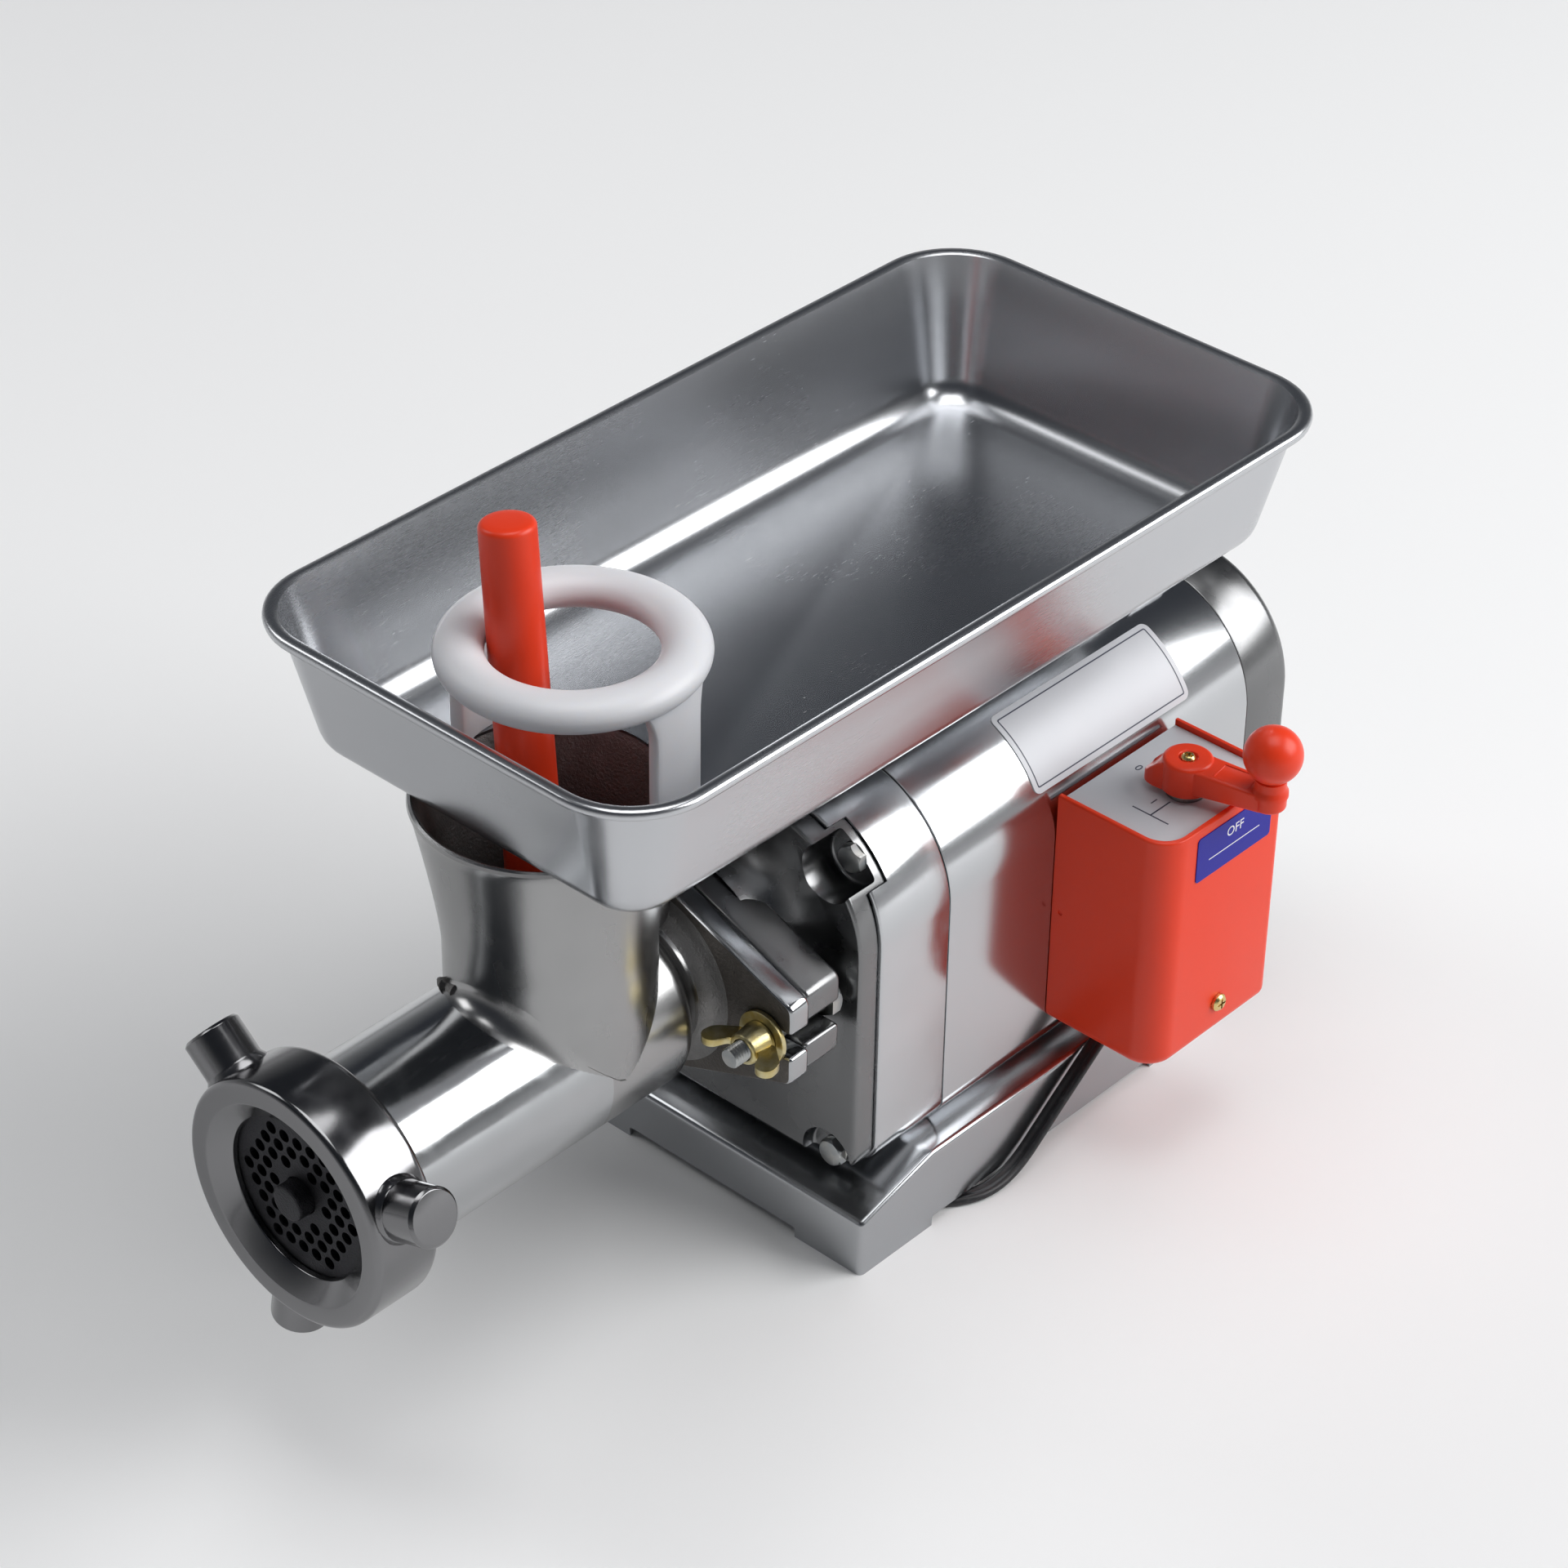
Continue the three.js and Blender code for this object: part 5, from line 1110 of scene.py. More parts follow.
def addSupport(u):
    shellTop = housing["top"]
    low = shellTop - 1.2
    outer, inner = u["halfWidth"], u["halfWidth"] - u["sheet"]
    under, bend = u["top"] - u["sheet"], u["bend"] - u["sheet"]
    front, back = u["front"], u["front"] + u["depth"]
    strap = rounded([
        (-outer, low), (-outer, u["top"], u["bend"]), (outer, u["top"], u["bend"]), (outer, low),
        (inner, low), (inner, under, bend), (-inner, under, bend), (-inner, low),
    ])
    bar = prism(strap, "Y", front, back)
    shellRoom = prism(housingOutline(housing, -u["gap"]), "Y", front - 5, back + 5)
    feetShape = prism(housingOutline(housing, -u["gap"] - u["sheet"]), "Y", front, back)
    reach = u["halfWidth"] + u["foot"]
    sides = together(*[block((near, front - 2, low - 22), (far, back + 2, shellTop + 4))
                       for near, far in ((inner, reach), (-reach, -inner))])
    feet = combined(feetShape, sides, operation="INTERSECT")
    whole = combined(combined(bar, feet, operation="UNION"), shellRoom)
    piece("supportStrap", whole, "satinSheet", ["tray_support"], sharp=30)


addSupport(support)
print("base and support ready")


# clamps: bolt, washer and wing nut on each side
clamp = {
    "place": 54,
    "headFront": 58.3,
    "headSize": 13,
    "headHeight": 5.5,
    "boltRadius": 4,
    "studFront": 11.4,
    "washerFront": 27.7,
    "washerRadius": 10.5,
    "washerThickness": 2,
    "hubRadius": 6,
    "hubLength": 9.5,
    "wingHalf": 17,
    "wingThickness": 3,
    "wingReach": 5,
}


def wingNut(c):
    back = c["washerFront"] - 0.3
    front = back - c["hubLength"]
    bore, radius = c["boltRadius"] + 0.2, c["hubRadius"]
    hub = spun(rounded([(bore, front, 0.4), (radius, front, 1.2), (radius + 1, back - 1, 1), (radius + 1, back),
                        (bore, back)]), "Y", segments=48)
    half, tip = c["wingHalf"], front - c["wingReach"]
    outline = rounded([
        (radius - 1, back - 1.2), (radius + 2.5, back - 1.2, 2), (half - 1, front + 2.4, 5), (half + 0.2, tip, 3.6),
        (half - 6.5, tip - 0.6, 3.6), (radius + 1, front + 2.2, 3), (radius - 1, front + 1.6),
    ])
    thick = c["wingThickness"] / 2
    wings = []
    for side in (1, -1):
        wing = prism([(side * x, y) for x, y in outline], "Z", -thick, thick)
        wings.append(softened(wing, 1.1, 3, 60))
    return together(hub, *wings)


def addClamps(c):
    for side, word in ((1, "right"), (-1, "left")):
        x, z, title, body = side * c["place"], outputAxis.z, word.title(), f"clamp_{word}"
        hexagon = lookAlong(hexHead(c["headSize"], c["headHeight"]), (0, 1, 0), (x, c["headFront"], z))
        stud = lookAlong(threaded(c["boltRadius"], c["studFront"], c["headFront"] + 1), (0, 1, 0), (x, 0, z))
        piece(f"clampBolt{title}", together(hexagon, stud), "zincSteel", [f"clamp_bolt_{word}"], body, sharp=30)
        washer = flatWasher(c["boltRadius"] + 0.4, c["washerRadius"], c["washerThickness"])
        lookAlong(washer, (0, 1, 0), (x, c["washerFront"], z))
        piece(f"clampWasher{title}", washer, "yellowZinc", [f"clamp_washer_{word}"], body, sharp=30)
        nut = moved(wingNut(c), (x, 0, z))
        piece(f"wingNut{title}", nut, "yellowZinc", [f"wing_nut_{word}"], f"wing_{word}", sharp=50)


addClamps(clamp)
print("clamps ready")


# switch box, its top plate and the lever
switchBox = {
    "inner": 66.8,
    "outer": 118,
    "front": 173,
    "back": 243.5,
    "bottom": 51.5,
    "top": 154.9,
    "corner": 12,
    "backCorner": 5,
    "wall": 2,
    "plateTop": 152.7,
    "plateThickness": 1.5,
    "bottomEdge": 5,
    "screwHole": 2.4,
    "screwHead": (3.6, 2.2),
    "drumHole": 7.3,
    "dimple": (70.8, 103.5),
    "lineReach": (9, 20.5),
    "lineHalf": 0.3,
    "barHalf": 8.3,
    "figures": [("1", -4.5, -13), ("2", -4.5, 13), ("0", -22, 0)],
    "figureHeight": 3.6,
    "label": (212.5, 141.2, 44, 19.5),
    "word": ("OFF", 4, 4.2),
    "rule": (15, -2.4, -2),
    "ink": 0.08,
}


def boxPlan(b, shrink):
    inner, outer = b["inner"] + shrink, b["outer"] - shrink
    front, back = b["front"] + shrink, b["back"] - shrink
    return rounded([(inner, front, 0), (outer, front, b["corner"] - shrink), (outer, back, b["backCorner"] - shrink),
                    (inner, back, 0)], steps=14)


# figures and words from the program's own plain typeface, as a thin solid in the plane across and up
def lettering(words, height, place, across, up, thickness):
    curve = bpy.data.curves.new("words", "FONT")
    curve.body = words
    curve.size = height / 0.7
    curve.align_x = "CENTER"
    curve.align_y = "CENTER"
    curve.extrude = thickness
    curve.resolution_u = 4
    holder = placed("words", curve)
    bm = evaluated(holder)
    discard(holder)
    across, up = Vector(across).normalized(), Vector(up).normalized()
    turn = Matrix((across, up, across.cross(up))).transposed().to_4x4()
    bmesh.ops.transform(bm, matrix=Matrix.Translation(place) @ turn, verts=bm.verts)
    return bm


def addSwitchBox(b):
    def sides(level, edge):
        return all(abs(v.co.z - level) < 0.1 for v in edge.verts) and max(v.co.x for v in edge.verts) > b["inner"] + 1

    outer = prism(boxPlan(b, 0), "Z", b["bottom"], b["top"])
    softened(outer, b["bottomEdge"], 6, 60, lambda edge: sides(b["bottom"], edge))
    softened(outer, 0.9, 3, 60, lambda edge: sides(b["top"], edge))
    inner = prism(boxPlan(b, b["wall"]), "Z", b["bottom"] + b["wall"] + 2, b["top"] + 5)
    shellSide = block((b["inner"] - 1, b["front"] + b["wall"], b["plateTop"] - b["plateThickness"] - 0.3),
                      (b["inner"] + b["wall"] + 1, b["back"] - b["wall"], b["top"] + 5))
    screw = nodeBox("box_screw")
    screwY, screwZ = (screw[0].y + screw[1].y) / 2, (screw[0].z + screw[1].z) / 2
    hole = rod(b["screwHole"], b["outer"] - 6, b["outer"] + 4, "X", (0, screwY, screwZ), 24)
    dimple = spun([(0, b["front"] + 0.7), (0.9, b["front"] + 0.5), (1.5, b["front"] - 1), (0, b["front"] - 1)], "Y",
                  (b["dimple"][0], 0, b["dimple"][1]), 20)
    piece("switchCase", combined(outer, inner, shellSide, hole, dimple), "redPlastic", ["switch_box"])
    screwHead = lookAlong(panHead(*b["screwHead"]), (1, 0, 0), (b["outer"] + 0.2, screwY, screwZ))
    piece("caseScrew", screwHead, "brass", ["box_screw"], sharp=30)


# silver plate let into the top, with a mark for each way the lever turns
def addSwitchPlate(b):
    plan = boxPlan(b, b["wall"] + 0.3)
    nearShell = min(point.x for point in plan)
    for point in plan:
        if point.x < nearShell + 0.1:
            point.x = b["inner"] + 0.3
    plate = prism(plan, "Z", b["plateTop"] - b["plateThickness"], b["plateTop"])
    softened(plate, 0.25, 2, 60)
    drum = rod(b["drumHole"], b["plateTop"] - 5, b["plateTop"] + 4, "Z", (leverAxis.x, leverAxis.y, 0))
    piece("switchPlate", combined(plate, drum), "silverPlate", ["switch_top_plate"])
    low, high = b["plateTop"], b["plateTop"] + b["ink"]
    thin, wide = b["lineHalf"], b["barHalf"]
    marks = []
    for way in (-1, 1):
        near, far = (leverAxis.y + way * reach for reach in b["lineReach"])
        marks.append(block((leverAxis.x - thin, min(near, far), low), (leverAxis.x + thin, max(near, far), high)))
        marks.append(block((leverAxis.x - wide, far - thin, low), (leverAxis.x + wide, far + thin, high)))
    for figure, aside, along in b["figures"]:
        place = (leverAxis.x + aside, leverAxis.y + along, low)
        marks.append(lettering(figure, b["figureHeight"], place, (1, 0, 0), (0, 1, 0), b["ink"]))
    piece("plateMarks", together(*marks), "darkInk")


def addSwitchLabel(b):
    y, z, width, height = b["label"]
    outline = card((y - width / 2, z - height / 2), (y + width / 2, z + height / 2), 1.5)
    face = b["outer"] + 0.4
    piece("boxLabel", prism(outline, "X", b["outer"] + 0.02, face), "blueLabel", ["switch_label"])
    words, wordHeight, rise = b["word"]
    half, low, high = b["rule"]
    word = lettering(words, wordHeight, (face, y, z + rise), (0, 1, 0), (0, 0, 1), b["ink"])
    rule = block((face, y - half, z + low), (face + b["ink"], y + half, z + high))
    piece("labelInk", together(word, rule), "whiteInk")


# a low domed head with a cross cut in it
def panHead(radius, height, reach=0.62, half=0.42):
    dome = turned([(0, 0), (radius, 0), (radius, height * 0.5, 0.5), (radius * 0.7, height, 1), (0, height)], "Z",
                  segments=40)
    arm, deep = radius * reach, height * 0.45
    cross = [block((-arm, -half, deep), (arm, half, height + 1)), block((-half, -arm, deep), (half, arm, height + 1))]
    return combined(dome, *cross)


lever = {
    "hubRadius": 9.6,
    "hubHeight": 12.8,
    "bottomGap": 3,
    "turn": 8.5,
    "reach": 34,
    "armHalf": 7.4,
    "armEnd": 7.5,
    "endRadius": 6.4,
    "panel": (13, 27, 4.6, 0.5),
    "ballRadius": 11,
    "ballRise": 26.9,
    "ballOpening": 27,
    "ballSteps": 28,
    "stemRadius": 5.9,
    "pointerRoot": 5.5,
    "pointerReach": 15.8,
    "screwRadius": 2.8,
    "screwHeight": 2.2,
}


def leverPointer(v, low, top):
    root, tip = v["pointerRoot"], v["pointerReach"]
    plan = rounded([
        (-root, -7.6), (-root, 7.6), (-10, 7.4, 6), (-tip, 5.6, 5), (-tip, -5.6, 5), (-10, -7.4, 6),
    ], steps=8)
    pointer = prism(plan, "Z", low, top)
    for vert in pointer.verts:
        if vert.co.z > low + 1:
            share = (-vert.co.x - root) / (tip - root)
            vert.co.z = top - 0.8 - (top - low - 4.2) * share ** 1.3
    return softened(pointer, 0.9, 3, 50, lambda edge: all(vert.co.z > low + 0.5 for vert in edge.verts))


def addLever(v):
    low = switchBox["plateTop"] + v["bottomGap"]
    top = low + v["hubHeight"]
    hub = turned([
        (0, low), (v["hubRadius"], low, 0.6), (v["hubRadius"], top, 1.8), (v["screwRadius"] + 0.8, top, 0.6),
        (v["screwRadius"] + 0.5, top - 1.6, 0.3), (0, top - 1.6),
    ], "Z", segments=72)
    armTop, half = top - 1, v["armHalf"]
    side = [(0, low + 1), (v["reach"], armTop - v["armEnd"]), (v["reach"], armTop), (0, armTop)]
    arm = prism(side, "Y", -half, half)
    for vert in arm.verts:
        if vert.co.x > v["reach"] - 1:
            vert.co.y = math.copysign(v["endRadius"] - 0.2, vert.co.y)
    softened(arm, 1.1, 3, 60)
    near, far, wide, deep = v["panel"]
    panel = block((near, -wide, armTop - deep), (far, wide, armTop + 2))
    arm = combined(arm, softened(panel, 0.4, 2, 30))
    armLow, radius = armTop - v["armEnd"], v["endRadius"]
    end = turned([(0, armLow), (radius, armLow, 1.6), (radius, armTop, 1.4), (0, armTop)], "Z",
                 (v["reach"], 0, 0), 64)
    ballZ = low + v["ballRise"]
    opening, steps = v["ballOpening"], v["ballSteps"]
    ball = [(v["ballRadius"] * math.sin(a), ballZ - v["ballRadius"] * math.cos(a))
            for a in (math.radians(opening + (180 - opening) * i / steps) for i in range(steps + 1))]
    ball[-1] = (0, ballZ + v["ballRadius"])
    stem = [(0, armTop - 2), (v["stemRadius"] + 1, armTop - 2), (v["stemRadius"] + 0.9, armTop),
            (v["stemRadius"] + 0.2, armTop + 0.8), (v["stemRadius"], armTop + 2), (v["stemRadius"], ball[0][1] - 0.5)]
    knob = spun(stem + ball, "Z", (v["reach"], 0, 0), 64)
    whole = together(hub, leverPointer(v, low, top), arm, end, knob)
    moved(whole, turn=math.radians(v["turn"]))
    moved(whole, (leverAxis.x, leverAxis.y, 0))
    piece("leverHandle", whole, "redPlastic", ["switch_handle"], "lever", sharp=45)
    screw = moved(panHead(v["screwRadius"], v["screwHeight"]), (leverAxis.x, leverAxis.y, top - 1.4))
    piece("leverScrew", screw, "brass", ["handle_screw"], "lever", sharp=30)


addSwitchBox(switchBox)
addSwitchPlate(switchBox)
addSwitchLabel(switchBox)
addLever(lever)


# plate bent over the shell's upper corner, with a dark line round it and nothing printed
shellLabel = {
    "front": 166,
    "length": 90,
    "from": 26,
    "to": 68,
    "thickness": 0.4,
    "corner": 3,
    "lineInset": 2.2,
    "lineWidth": 0.5,
    "bends": 28,
}


def labelCard(s, inset, low, high):
    width = math.radians(s["to"] - s["from"]) * housing["topRadius"]
    near, far = s["front"] + inset, s["front"] + s["length"] - inset
    corner = max(0.5, s["corner"] - inset)
    return prism(card((inset, near), (width - inset, far), corner), "Z", low, high)


# a flat card is cut across into strips and rolled onto the shell's corner
def rolledOn(bm, s):
    width = math.radians(s["to"] - s["from"]) * housing["topRadius"]
    for i in range(1, s["bends"]):
        bmesh.ops.bisect_plane(bm, geom=bm.verts[:] + bm.edges[:] + bm.faces[:], plane_no=(1, 0, 0),
                               plane_co=(width * i / s["bends"], 0, 0))
    middle = Vector((housing["halfWidth"] - housing["topRadius"], housing["top"] - housing["topRadius"]))
    for vert in bm.verts:
        angle = math.radians(s["from"]) + vert.co.x / housing["topRadius"]
        reach = housing["topRadius"] + vert.co.z
        vert.co = (middle.x + reach * math.cos(angle), vert.co.y, middle.y + reach * math.sin(angle))
    bmesh.ops.recalc_face_normals(bm, faces=bm.faces)
    return bm


def addShellLabel(s):
    thick = s["thickness"]
    piece("shellPlate", rolledOn(labelCard(s, 0, 0.02, thick), s), "silverPlate", ["shell_label"])
    inset = s["lineInset"]
    line = combined(labelCard(s, inset, thick, thick + 0.06), labelCard(s, inset + s["lineWidth"], -1, thick + 1))
    piece("plateLine", rolledOn(line, s), "darkInk")


addShellLabel(shellLabel)
print("switch and labels ready")


# flat twin mains cord: out of the switch box, under the base, into a tied coil with its plug
mains = {
    "width": 6.7,
    "thickness": 3.4,
    "groove": 0.35,
    "coreShare": 0.86,
    "exit": (79.6, 194.3, 42.1),
    "slope": 36.5,
    "tableGap": 0.2,
    "reliefLength": 24,
    "reliefEnd": 4.6,
    "reliefStart": 6.2,
    "route": [
        (79.6, 182, 33), (79.6, 168, 22.7), (79.6, 155, 13), (79.6, 148, 8), (79.5, 140, 4.1), (79, 131, 2.2),
        (77, 122.5, 1.9), (71, 113, 1.9), (62, 107, 1.9), (50, 104.5, 1.9), (20, 104.5, 1.9), (-30, 104.5, 1.9),
        (-80, 104.5, 1.9), (-125, 106, 1.9), (-156, 111.5, 1.9), (-181, 125, 1.9), (-197, 148, 1.9),
        (-204.55, 172, 1.9), (-204.55, 190, 1.9),
    ],
    "coilCentre": (-150, 190),
    "outerTurn": 47.55,
    "tailStraight": 14,
    "turnsAcross": 3,
    "merge": 85,
    "climb": 60,
    "tailEnd": (-166, 253.7, 8.2),
    "plugFront": -116,
    "plugWidth": 25,
    "plugHeight": 16,
    "plugGrooves": 4,
    "tailRings": 4,
    "tieHalf": 5,
    "tieTurn": -35,
    "reliefRings": 5,
    "reliefPitch": 3.6,
}


# a centripetal Catmull-Rom curve through the points
def throughPoints(points, spacing=3):
    points = [Vector(point) for point in points]
    ends = [2 * points[0] - points[1], *points, 2 * points[-1] - points[-2]]
    line = []
    for a, b, c, d in zip(ends, ends[1:], ends[2:], ends[3:]):
        gaps = [math.sqrt((second - first).length) for first, second in ((a, b), (b, c), (c, d))]
        leave = ((b - a) / gaps[0] - (c - a) / (gaps[0] + gaps[1]) + (c - b) / gaps[1]) * gaps[1]
        arrive = ((c - b) / gaps[1] - (d - b) / (gaps[1] + gaps[2]) + (d - c) / gaps[2]) * gaps[1]
        steps = max(1, round((c - b).length / spacing))
        for step in range(steps):
            t = step / steps
            line.append(b * (2 * t**3 - 3 * t**2 + 1) + leave * (t**3 - 2 * t**2 + t)
                        + c * (3 * t**2 - 2 * t**3) + arrive * (t**3 - t**2))
    line.append(points[-1])
    return line


def eased(share):
    return share * share * (3 - 2 * share)


# clockwise turns: in over the table, up at the inner turn, and out again on top
def coilTurns(m, low, high):
    x, y = m["coilCentre"]
    outer, width = m["outerTurn"], m["width"]
    inner = outer - width * m["turnsAcross"]
    entry = math.dist(m["route"][-1][:2], m["coilCentre"])
    around = 360 * m["turnsAcross"]
    rest = around - m["merge"] - m["climb"]
    stretches = [
        (m["merge"], entry, outer, low, low, eased), (around, outer, inner, low, low, float),
        (m["climb"], inner, inner, low, high, eased), (rest, inner, inner + width * rest / 360, high, high, float),
    ]
    line, angle = [], 180
    for sweep, fromRadius, toRadius, fromZ, toZ, ease in stretches:
        steps = max(1, round(sweep / 5))
        for step in range(1, steps + 1):
            share = step / steps
            turn = math.radians(angle - sweep * share)
            radius = fromRadius + (toRadius - fromRadius) * ease(share)
            z = fromZ + (toZ - fromZ) * eased(share)
            line.append(Vector((x + radius * math.cos(turn), y + radius * math.sin(turn), z)))
        angle -= sweep
    return line


def cordLine(m):
    low = m["thickness"] / 2 + m["tableGap"]
    slope = math.radians(m["slope"])
    ahead = Vector((0, -math.cos(slope), -math.sin(slope)))
    lead = throughPoints([Vector(m["exit"]) + ahead * 0.3, *m["route"]])
    turns = coilTurns(m, low, low + m["thickness"])
    last, plugIn = turns[-1], Vector(m["tailEnd"])
    bend = plugIn.x - last.x
    tail = [last + Vector((0, (plugIn.y - last.y - bend) * share, 0)) for share in (0.5, 1)]
    for step in range(1, 13):
        turn = math.radians(90 * step / 12)
        rise = (plugIn.z - last.z) * eased(step / 12)
        tail.append(plugIn + bend * Vector((-math.cos(turn), math.sin(turn) - 1, 0)))
        tail[-1].z = last.z + rise
    return lead + turns + tail + [plugIn + Vector((m["tailStraight"], 0, 0))]


# two round cores side by side, joined where they meet
def twinSection(m):
    radius = m["thickness"] / 2
    centre = m["width"] / 2 - radius
    lean = math.asin(m["groove"] / centre) + math.radians(12)
    outline = []
    for side in (1, -1):
        for step in range(17):
            turn = lean - math.pi * m["coreShare"] + (math.tau * m["coreShare"] - 2 * lean) * step / 16
            outline.append(Vector((side * (centre + radius * math.cos(turn)), side * radius * math.sin(turn))))
    return outline


def curveObject(name, outline, closed, flat):
    data = bpy.data.curves.new(name, "CURVE")
    data.dimensions = "2D" if flat else "3D"
    spline = data.splines.new("POLY")
    spline.points.add(len(outline) - 1)
    for point, place in zip(spline.points, outline):
        point.co = (*place, *([0] * (3 - len(place))), 1)
    spline.use_cyclic_u = closed
    return placed(name, data)


# a section carried along a line and kept level, as a bmesh
def swept(section, line):
    sectionCurve = curveObject("section", section, True, True)
    route = curveObject("route", line, False, False)
    route.data.twist_mode = "Z_UP"
    route.data.bevel_mode = "OBJECT"
    route.data.bevel_object = sectionCurve
    route.data.use_fill_caps = True
    bm = evaluated(route)
    discard(route, sectionCurve)
    bmesh.ops.remove_doubles(bm, verts=bm.verts, dist=1e-4)
    bmesh.ops.recalc_face_normals(bm, faces=bm.faces)
    return bm


# a tapered sleeve with grooves, so that it bends with the cord
def addRelief(m):
    length, tip, root = m["reliefLength"], m["reliefEnd"], m["reliefStart"]
    profile = [(3.2, 0), (tip - 0.5, 0), (tip, 0.6)]
    for ring in range(m["reliefRings"]):
        start = 2.5 + ring * m["reliefPitch"]
        here = tip + (root - tip) * start / length
        profile += [(here, start), (here - 1, start + 0.4), (here - 1, start + 1.3), (here + 0.15, start + 1.7)]
    profile += [(root, length - 1), (root, length + 3), (3.2, length + 3)]
    sleeve = spun(profile, "Z", segments=48)
    slope = math.radians(m["slope"])
    lookAlong(sleeve, (0, math.cos(slope), math.sin(slope)), m["exit"])
    boxRoom = block((switchBox["inner"] - 5, switchBox["front"], switchBox["bottom"] - 0.3),
                    (switchBox["outer"], switchBox["back"], switchBox["top"]))
    piece("cordRelief", combined(sleeve, boxRoom), "blackPlastic", ["strain_relief"], sharp=40)


def addPlug(m):
    back = m["coilCentre"][0]
    tailX, y, z = m["tailEnd"]
    half, high = m["plugWidth"] / 2, m["plugHeight"] / 2
    front = m["plugFront"]
    flank = [(back, 0.62, 4), (back + 9, 0.74, 6), (front - 9, 1, 8), (front, 1, 2.5)]
    plan = [(x, y - half * share, bend) for x, share, bend in flank]
    plan += [(x, y + half * share, bend) for x, share, bend in reversed(flank)]
    grip = softened(prism(rounded(plan), "Z", z - high, z + high), 2.4, 4, 60)
    grooves = []
    for step in range(m["plugGrooves"]):
        x = back + 8 + 5 * step
        for side in (1, -1):
            centre = z + side * (high + 1.3)
            grooves.append(block((x, y - half * 0.5, centre - 1.8), (x + 1.6, y + half * 0.5, centre + 1.8)))
    grip = combined(grip, *grooves)
    tail = []
    for ring in range(m["tailRings"]):
        x = tailX + 1 + ring * 4
        wide = 4.3 + 0.65 * ring
        tail += [(wide, x), (wide + 0.15, x + 2.6), (wide - 0.7, x + 2.9), (wide - 0.7, x + 3.9)]
    sleeve = spun([(3.5, tailX), (4.1, tailX), *tail, (6.4, back + 2), (3.5, back + 2)], "X", (0, y, z), 40)
    return piece("mainsPlug", together(grip, sleeve), "blackPlastic", ["plug_body"], sharp=35)


def addCoilTie(m):
    outer = m["outerTurn"] + m["width"] / 2 + 0.4
    inner = m["outerTurn"] - m["width"] * (m["turnsAcross"] + 0.5) - 0.4
    top = m["tableGap"] + 2 * m["thickness"] + 0.3
    room = rounded([(inner, 0.12, 1.2), (outer, 0.12, 1.2), (outer, top, 1.6), (inner, top, 1.6)])
    skin = rounded([
        (inner - 1, 0.02, 1.6), (outer + 1, 0.02, 1.6), (outer + 1, top + 1, 2.4), (inner - 1, top + 1, 2.4),
    ])
    half = m["tieHalf"]
    band = combined(prism(skin, "Y", -half, half), prism(room, "Y", -half - 1, half + 1))
    buckle = block((outer - 9, -half - 1, top + 0.6), (outer - 3, half + 1, top + 2.2))
    band = together(band, softened(buckle, 0.6, 2, 60))
    moved(band, turn=math.radians(m["tieTurn"]))
    moved(band, (*m["coilCentre"], 0))
    return piece("cordTie", band, "blackRubber", sharp=40)


def addCord(m):
    line = cordLine(m)
    length = sum((second - first).length for first, second in zip(line, line[1:])) * mm
    lead = piece("mainsCord", swept(twinSection(m), line), "blackRubber", ["power_cord", "cord_coil"], sharp=60)
    addRelief(m)
    [toFrame @ point for point in line]
    addPlug(m)
    addCoilTie(m)
    print(f"cord ready, {length:.3f} m")


addCord(mains)


# floor, light and camera
studio = {
    "floorSize": 9.0,
    "floorTone": (0.92, 0.92, 0.92),
    "surround": [
        (0.0, (0.48, 0.48, 0.49)), (0.03, (0.48, 0.48, 0.49)), (0.2, (0.22, 0.225, 0.23)),
        (0.45, (0.05, 0.055, 0.065)),
    ],
    "lampTarget": (0, 0, 0.1),
    "lamps": [
        ("keyLight", (2.4, 2.1, 2.2), 3.0, 2.4, 135),
        ("sideLight", (-2.0, -0.8, 1.9), 1.1, 1.3, 12),
        ("topLight", (0.1, 0.1, 3.0), 1.8, 1.8, 34),
    ],
    "cameraPlace": (866.78, -862.49, 1074.71),
    "cameraAngles": (42.076, 35.088, 0.883),
    "cameraLens": 100.56,
}


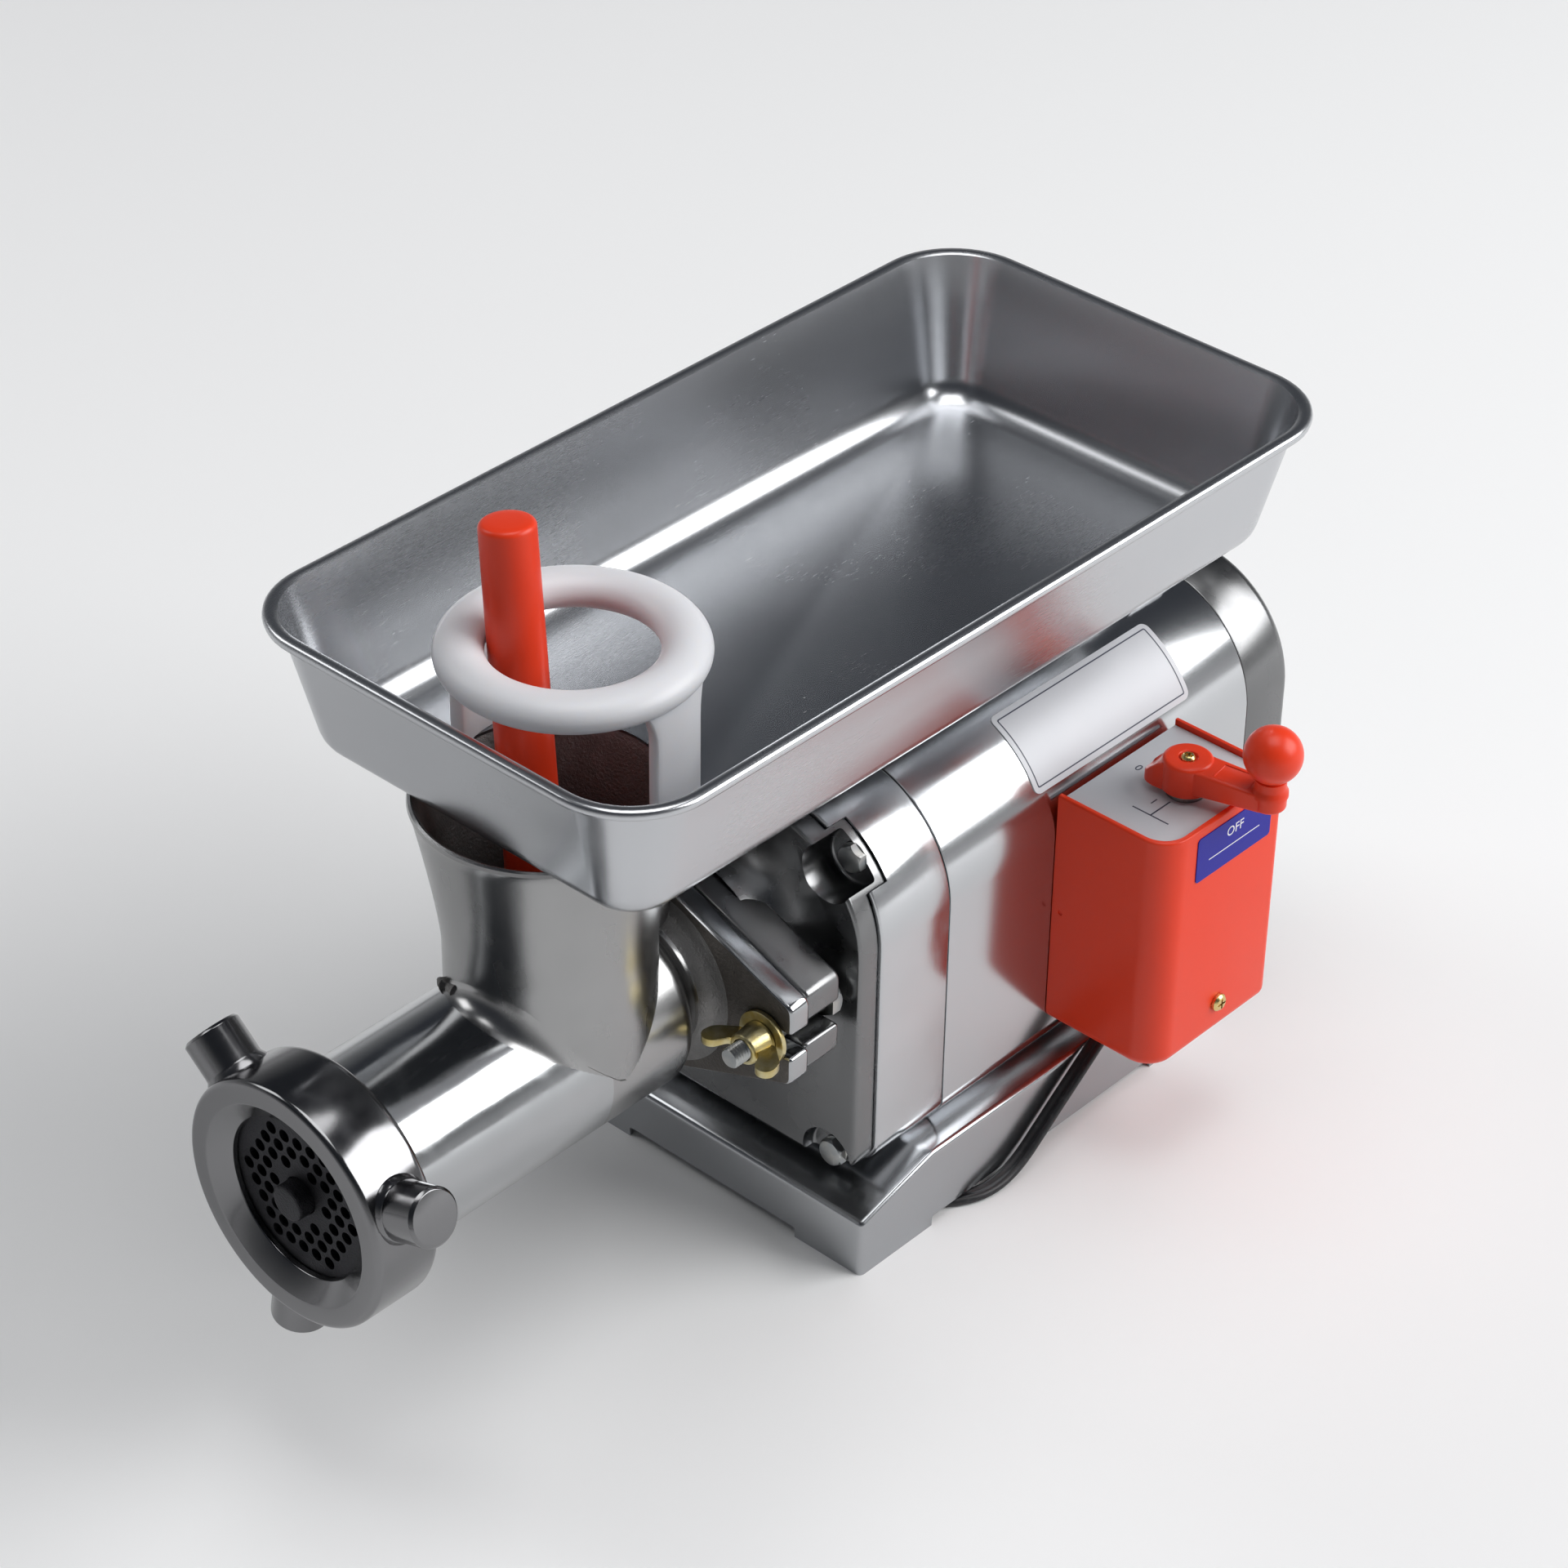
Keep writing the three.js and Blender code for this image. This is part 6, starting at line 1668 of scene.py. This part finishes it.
def addFloor(settings):
    paint = Paint("floorPaper", Metallic=0.0, Roughness=0.9, SpecularIORLevel=0.1)
    paint.shade(paint.noise(3, 2), settings["floorTone"], 0.99, 1)
    bm = bmesh.new()
    bmesh.ops.create_grid(bm, x_segments=2, y_segments=2, size=settings["floorSize"] / 2)
    floor = meshObject("floor", bm)
    floor.data.materials.append(paint.material)


# a pale surround that darkens overhead, as in a studio with a low dark ceiling
def addSurround(settings):
    world = bpy.data.worlds.new("surround")
    bpy.context.scene.world = world
    world.use_nodes = True
    tree = NodeTree(world.node_tree)
    place = tree.node("ShaderNodeTexCoord", output="Generated")
    height = tree.node("ShaderNodeSeparateXYZ", None, {0: place}, "Z")
    ramp = tree.node("ShaderNodeValToRGB", None, {0: height}, stops=settings["surround"])
    tree.feed(world.node_tree.nodes["Background"].inputs["Color"], ramp)


def addSoftbox(target, name, place, width, height, power):
    lamp = bpy.data.lights.new(name, "AREA")
    lamp.shape = "RECTANGLE"
    lamp.size = width
    lamp.size_y = height
    lamp.energy = power
    holder = placed(name, lamp)
    holder.location = place
    holder.rotation_euler = (Vector(target) - Vector(place)).to_track_quat("-Z", "Y").to_euler()


def addCamera(settings):
    azimuth, elevation, roll = (math.radians(angle) for angle in settings["cameraAngles"])
    right = Vector((math.cos(azimuth), math.sin(azimuth), 0))
    back = Vector((math.sin(azimuth) * math.cos(elevation), -math.cos(azimuth) * math.cos(elevation),
                   math.sin(elevation)))
    up = back.cross(right)
    across = right * math.cos(roll) + up * math.sin(roll)
    upward = up * math.cos(roll) - right * math.sin(roll)
    lens = bpy.data.cameras.new("camera")
    lens.lens = settings["cameraLens"]
    holder = placed("camera", lens)
    turn = Matrix((across, upward, back)).transposed().to_4x4()
    holder.matrix_world = Matrix.Translation(toFrame @ Vector(settings["cameraPlace"])) @ turn
    bpy.context.scene.camera = holder


addFloor(studio)
addSurround(studio)
for lamp in studio["lamps"]:
    addSoftbox(studio["lampTarget"], *lamp)
addCamera(studio)
bpy.context.scene.view_settings.view_transform = "Standard"
print("floor, light and camera ready")
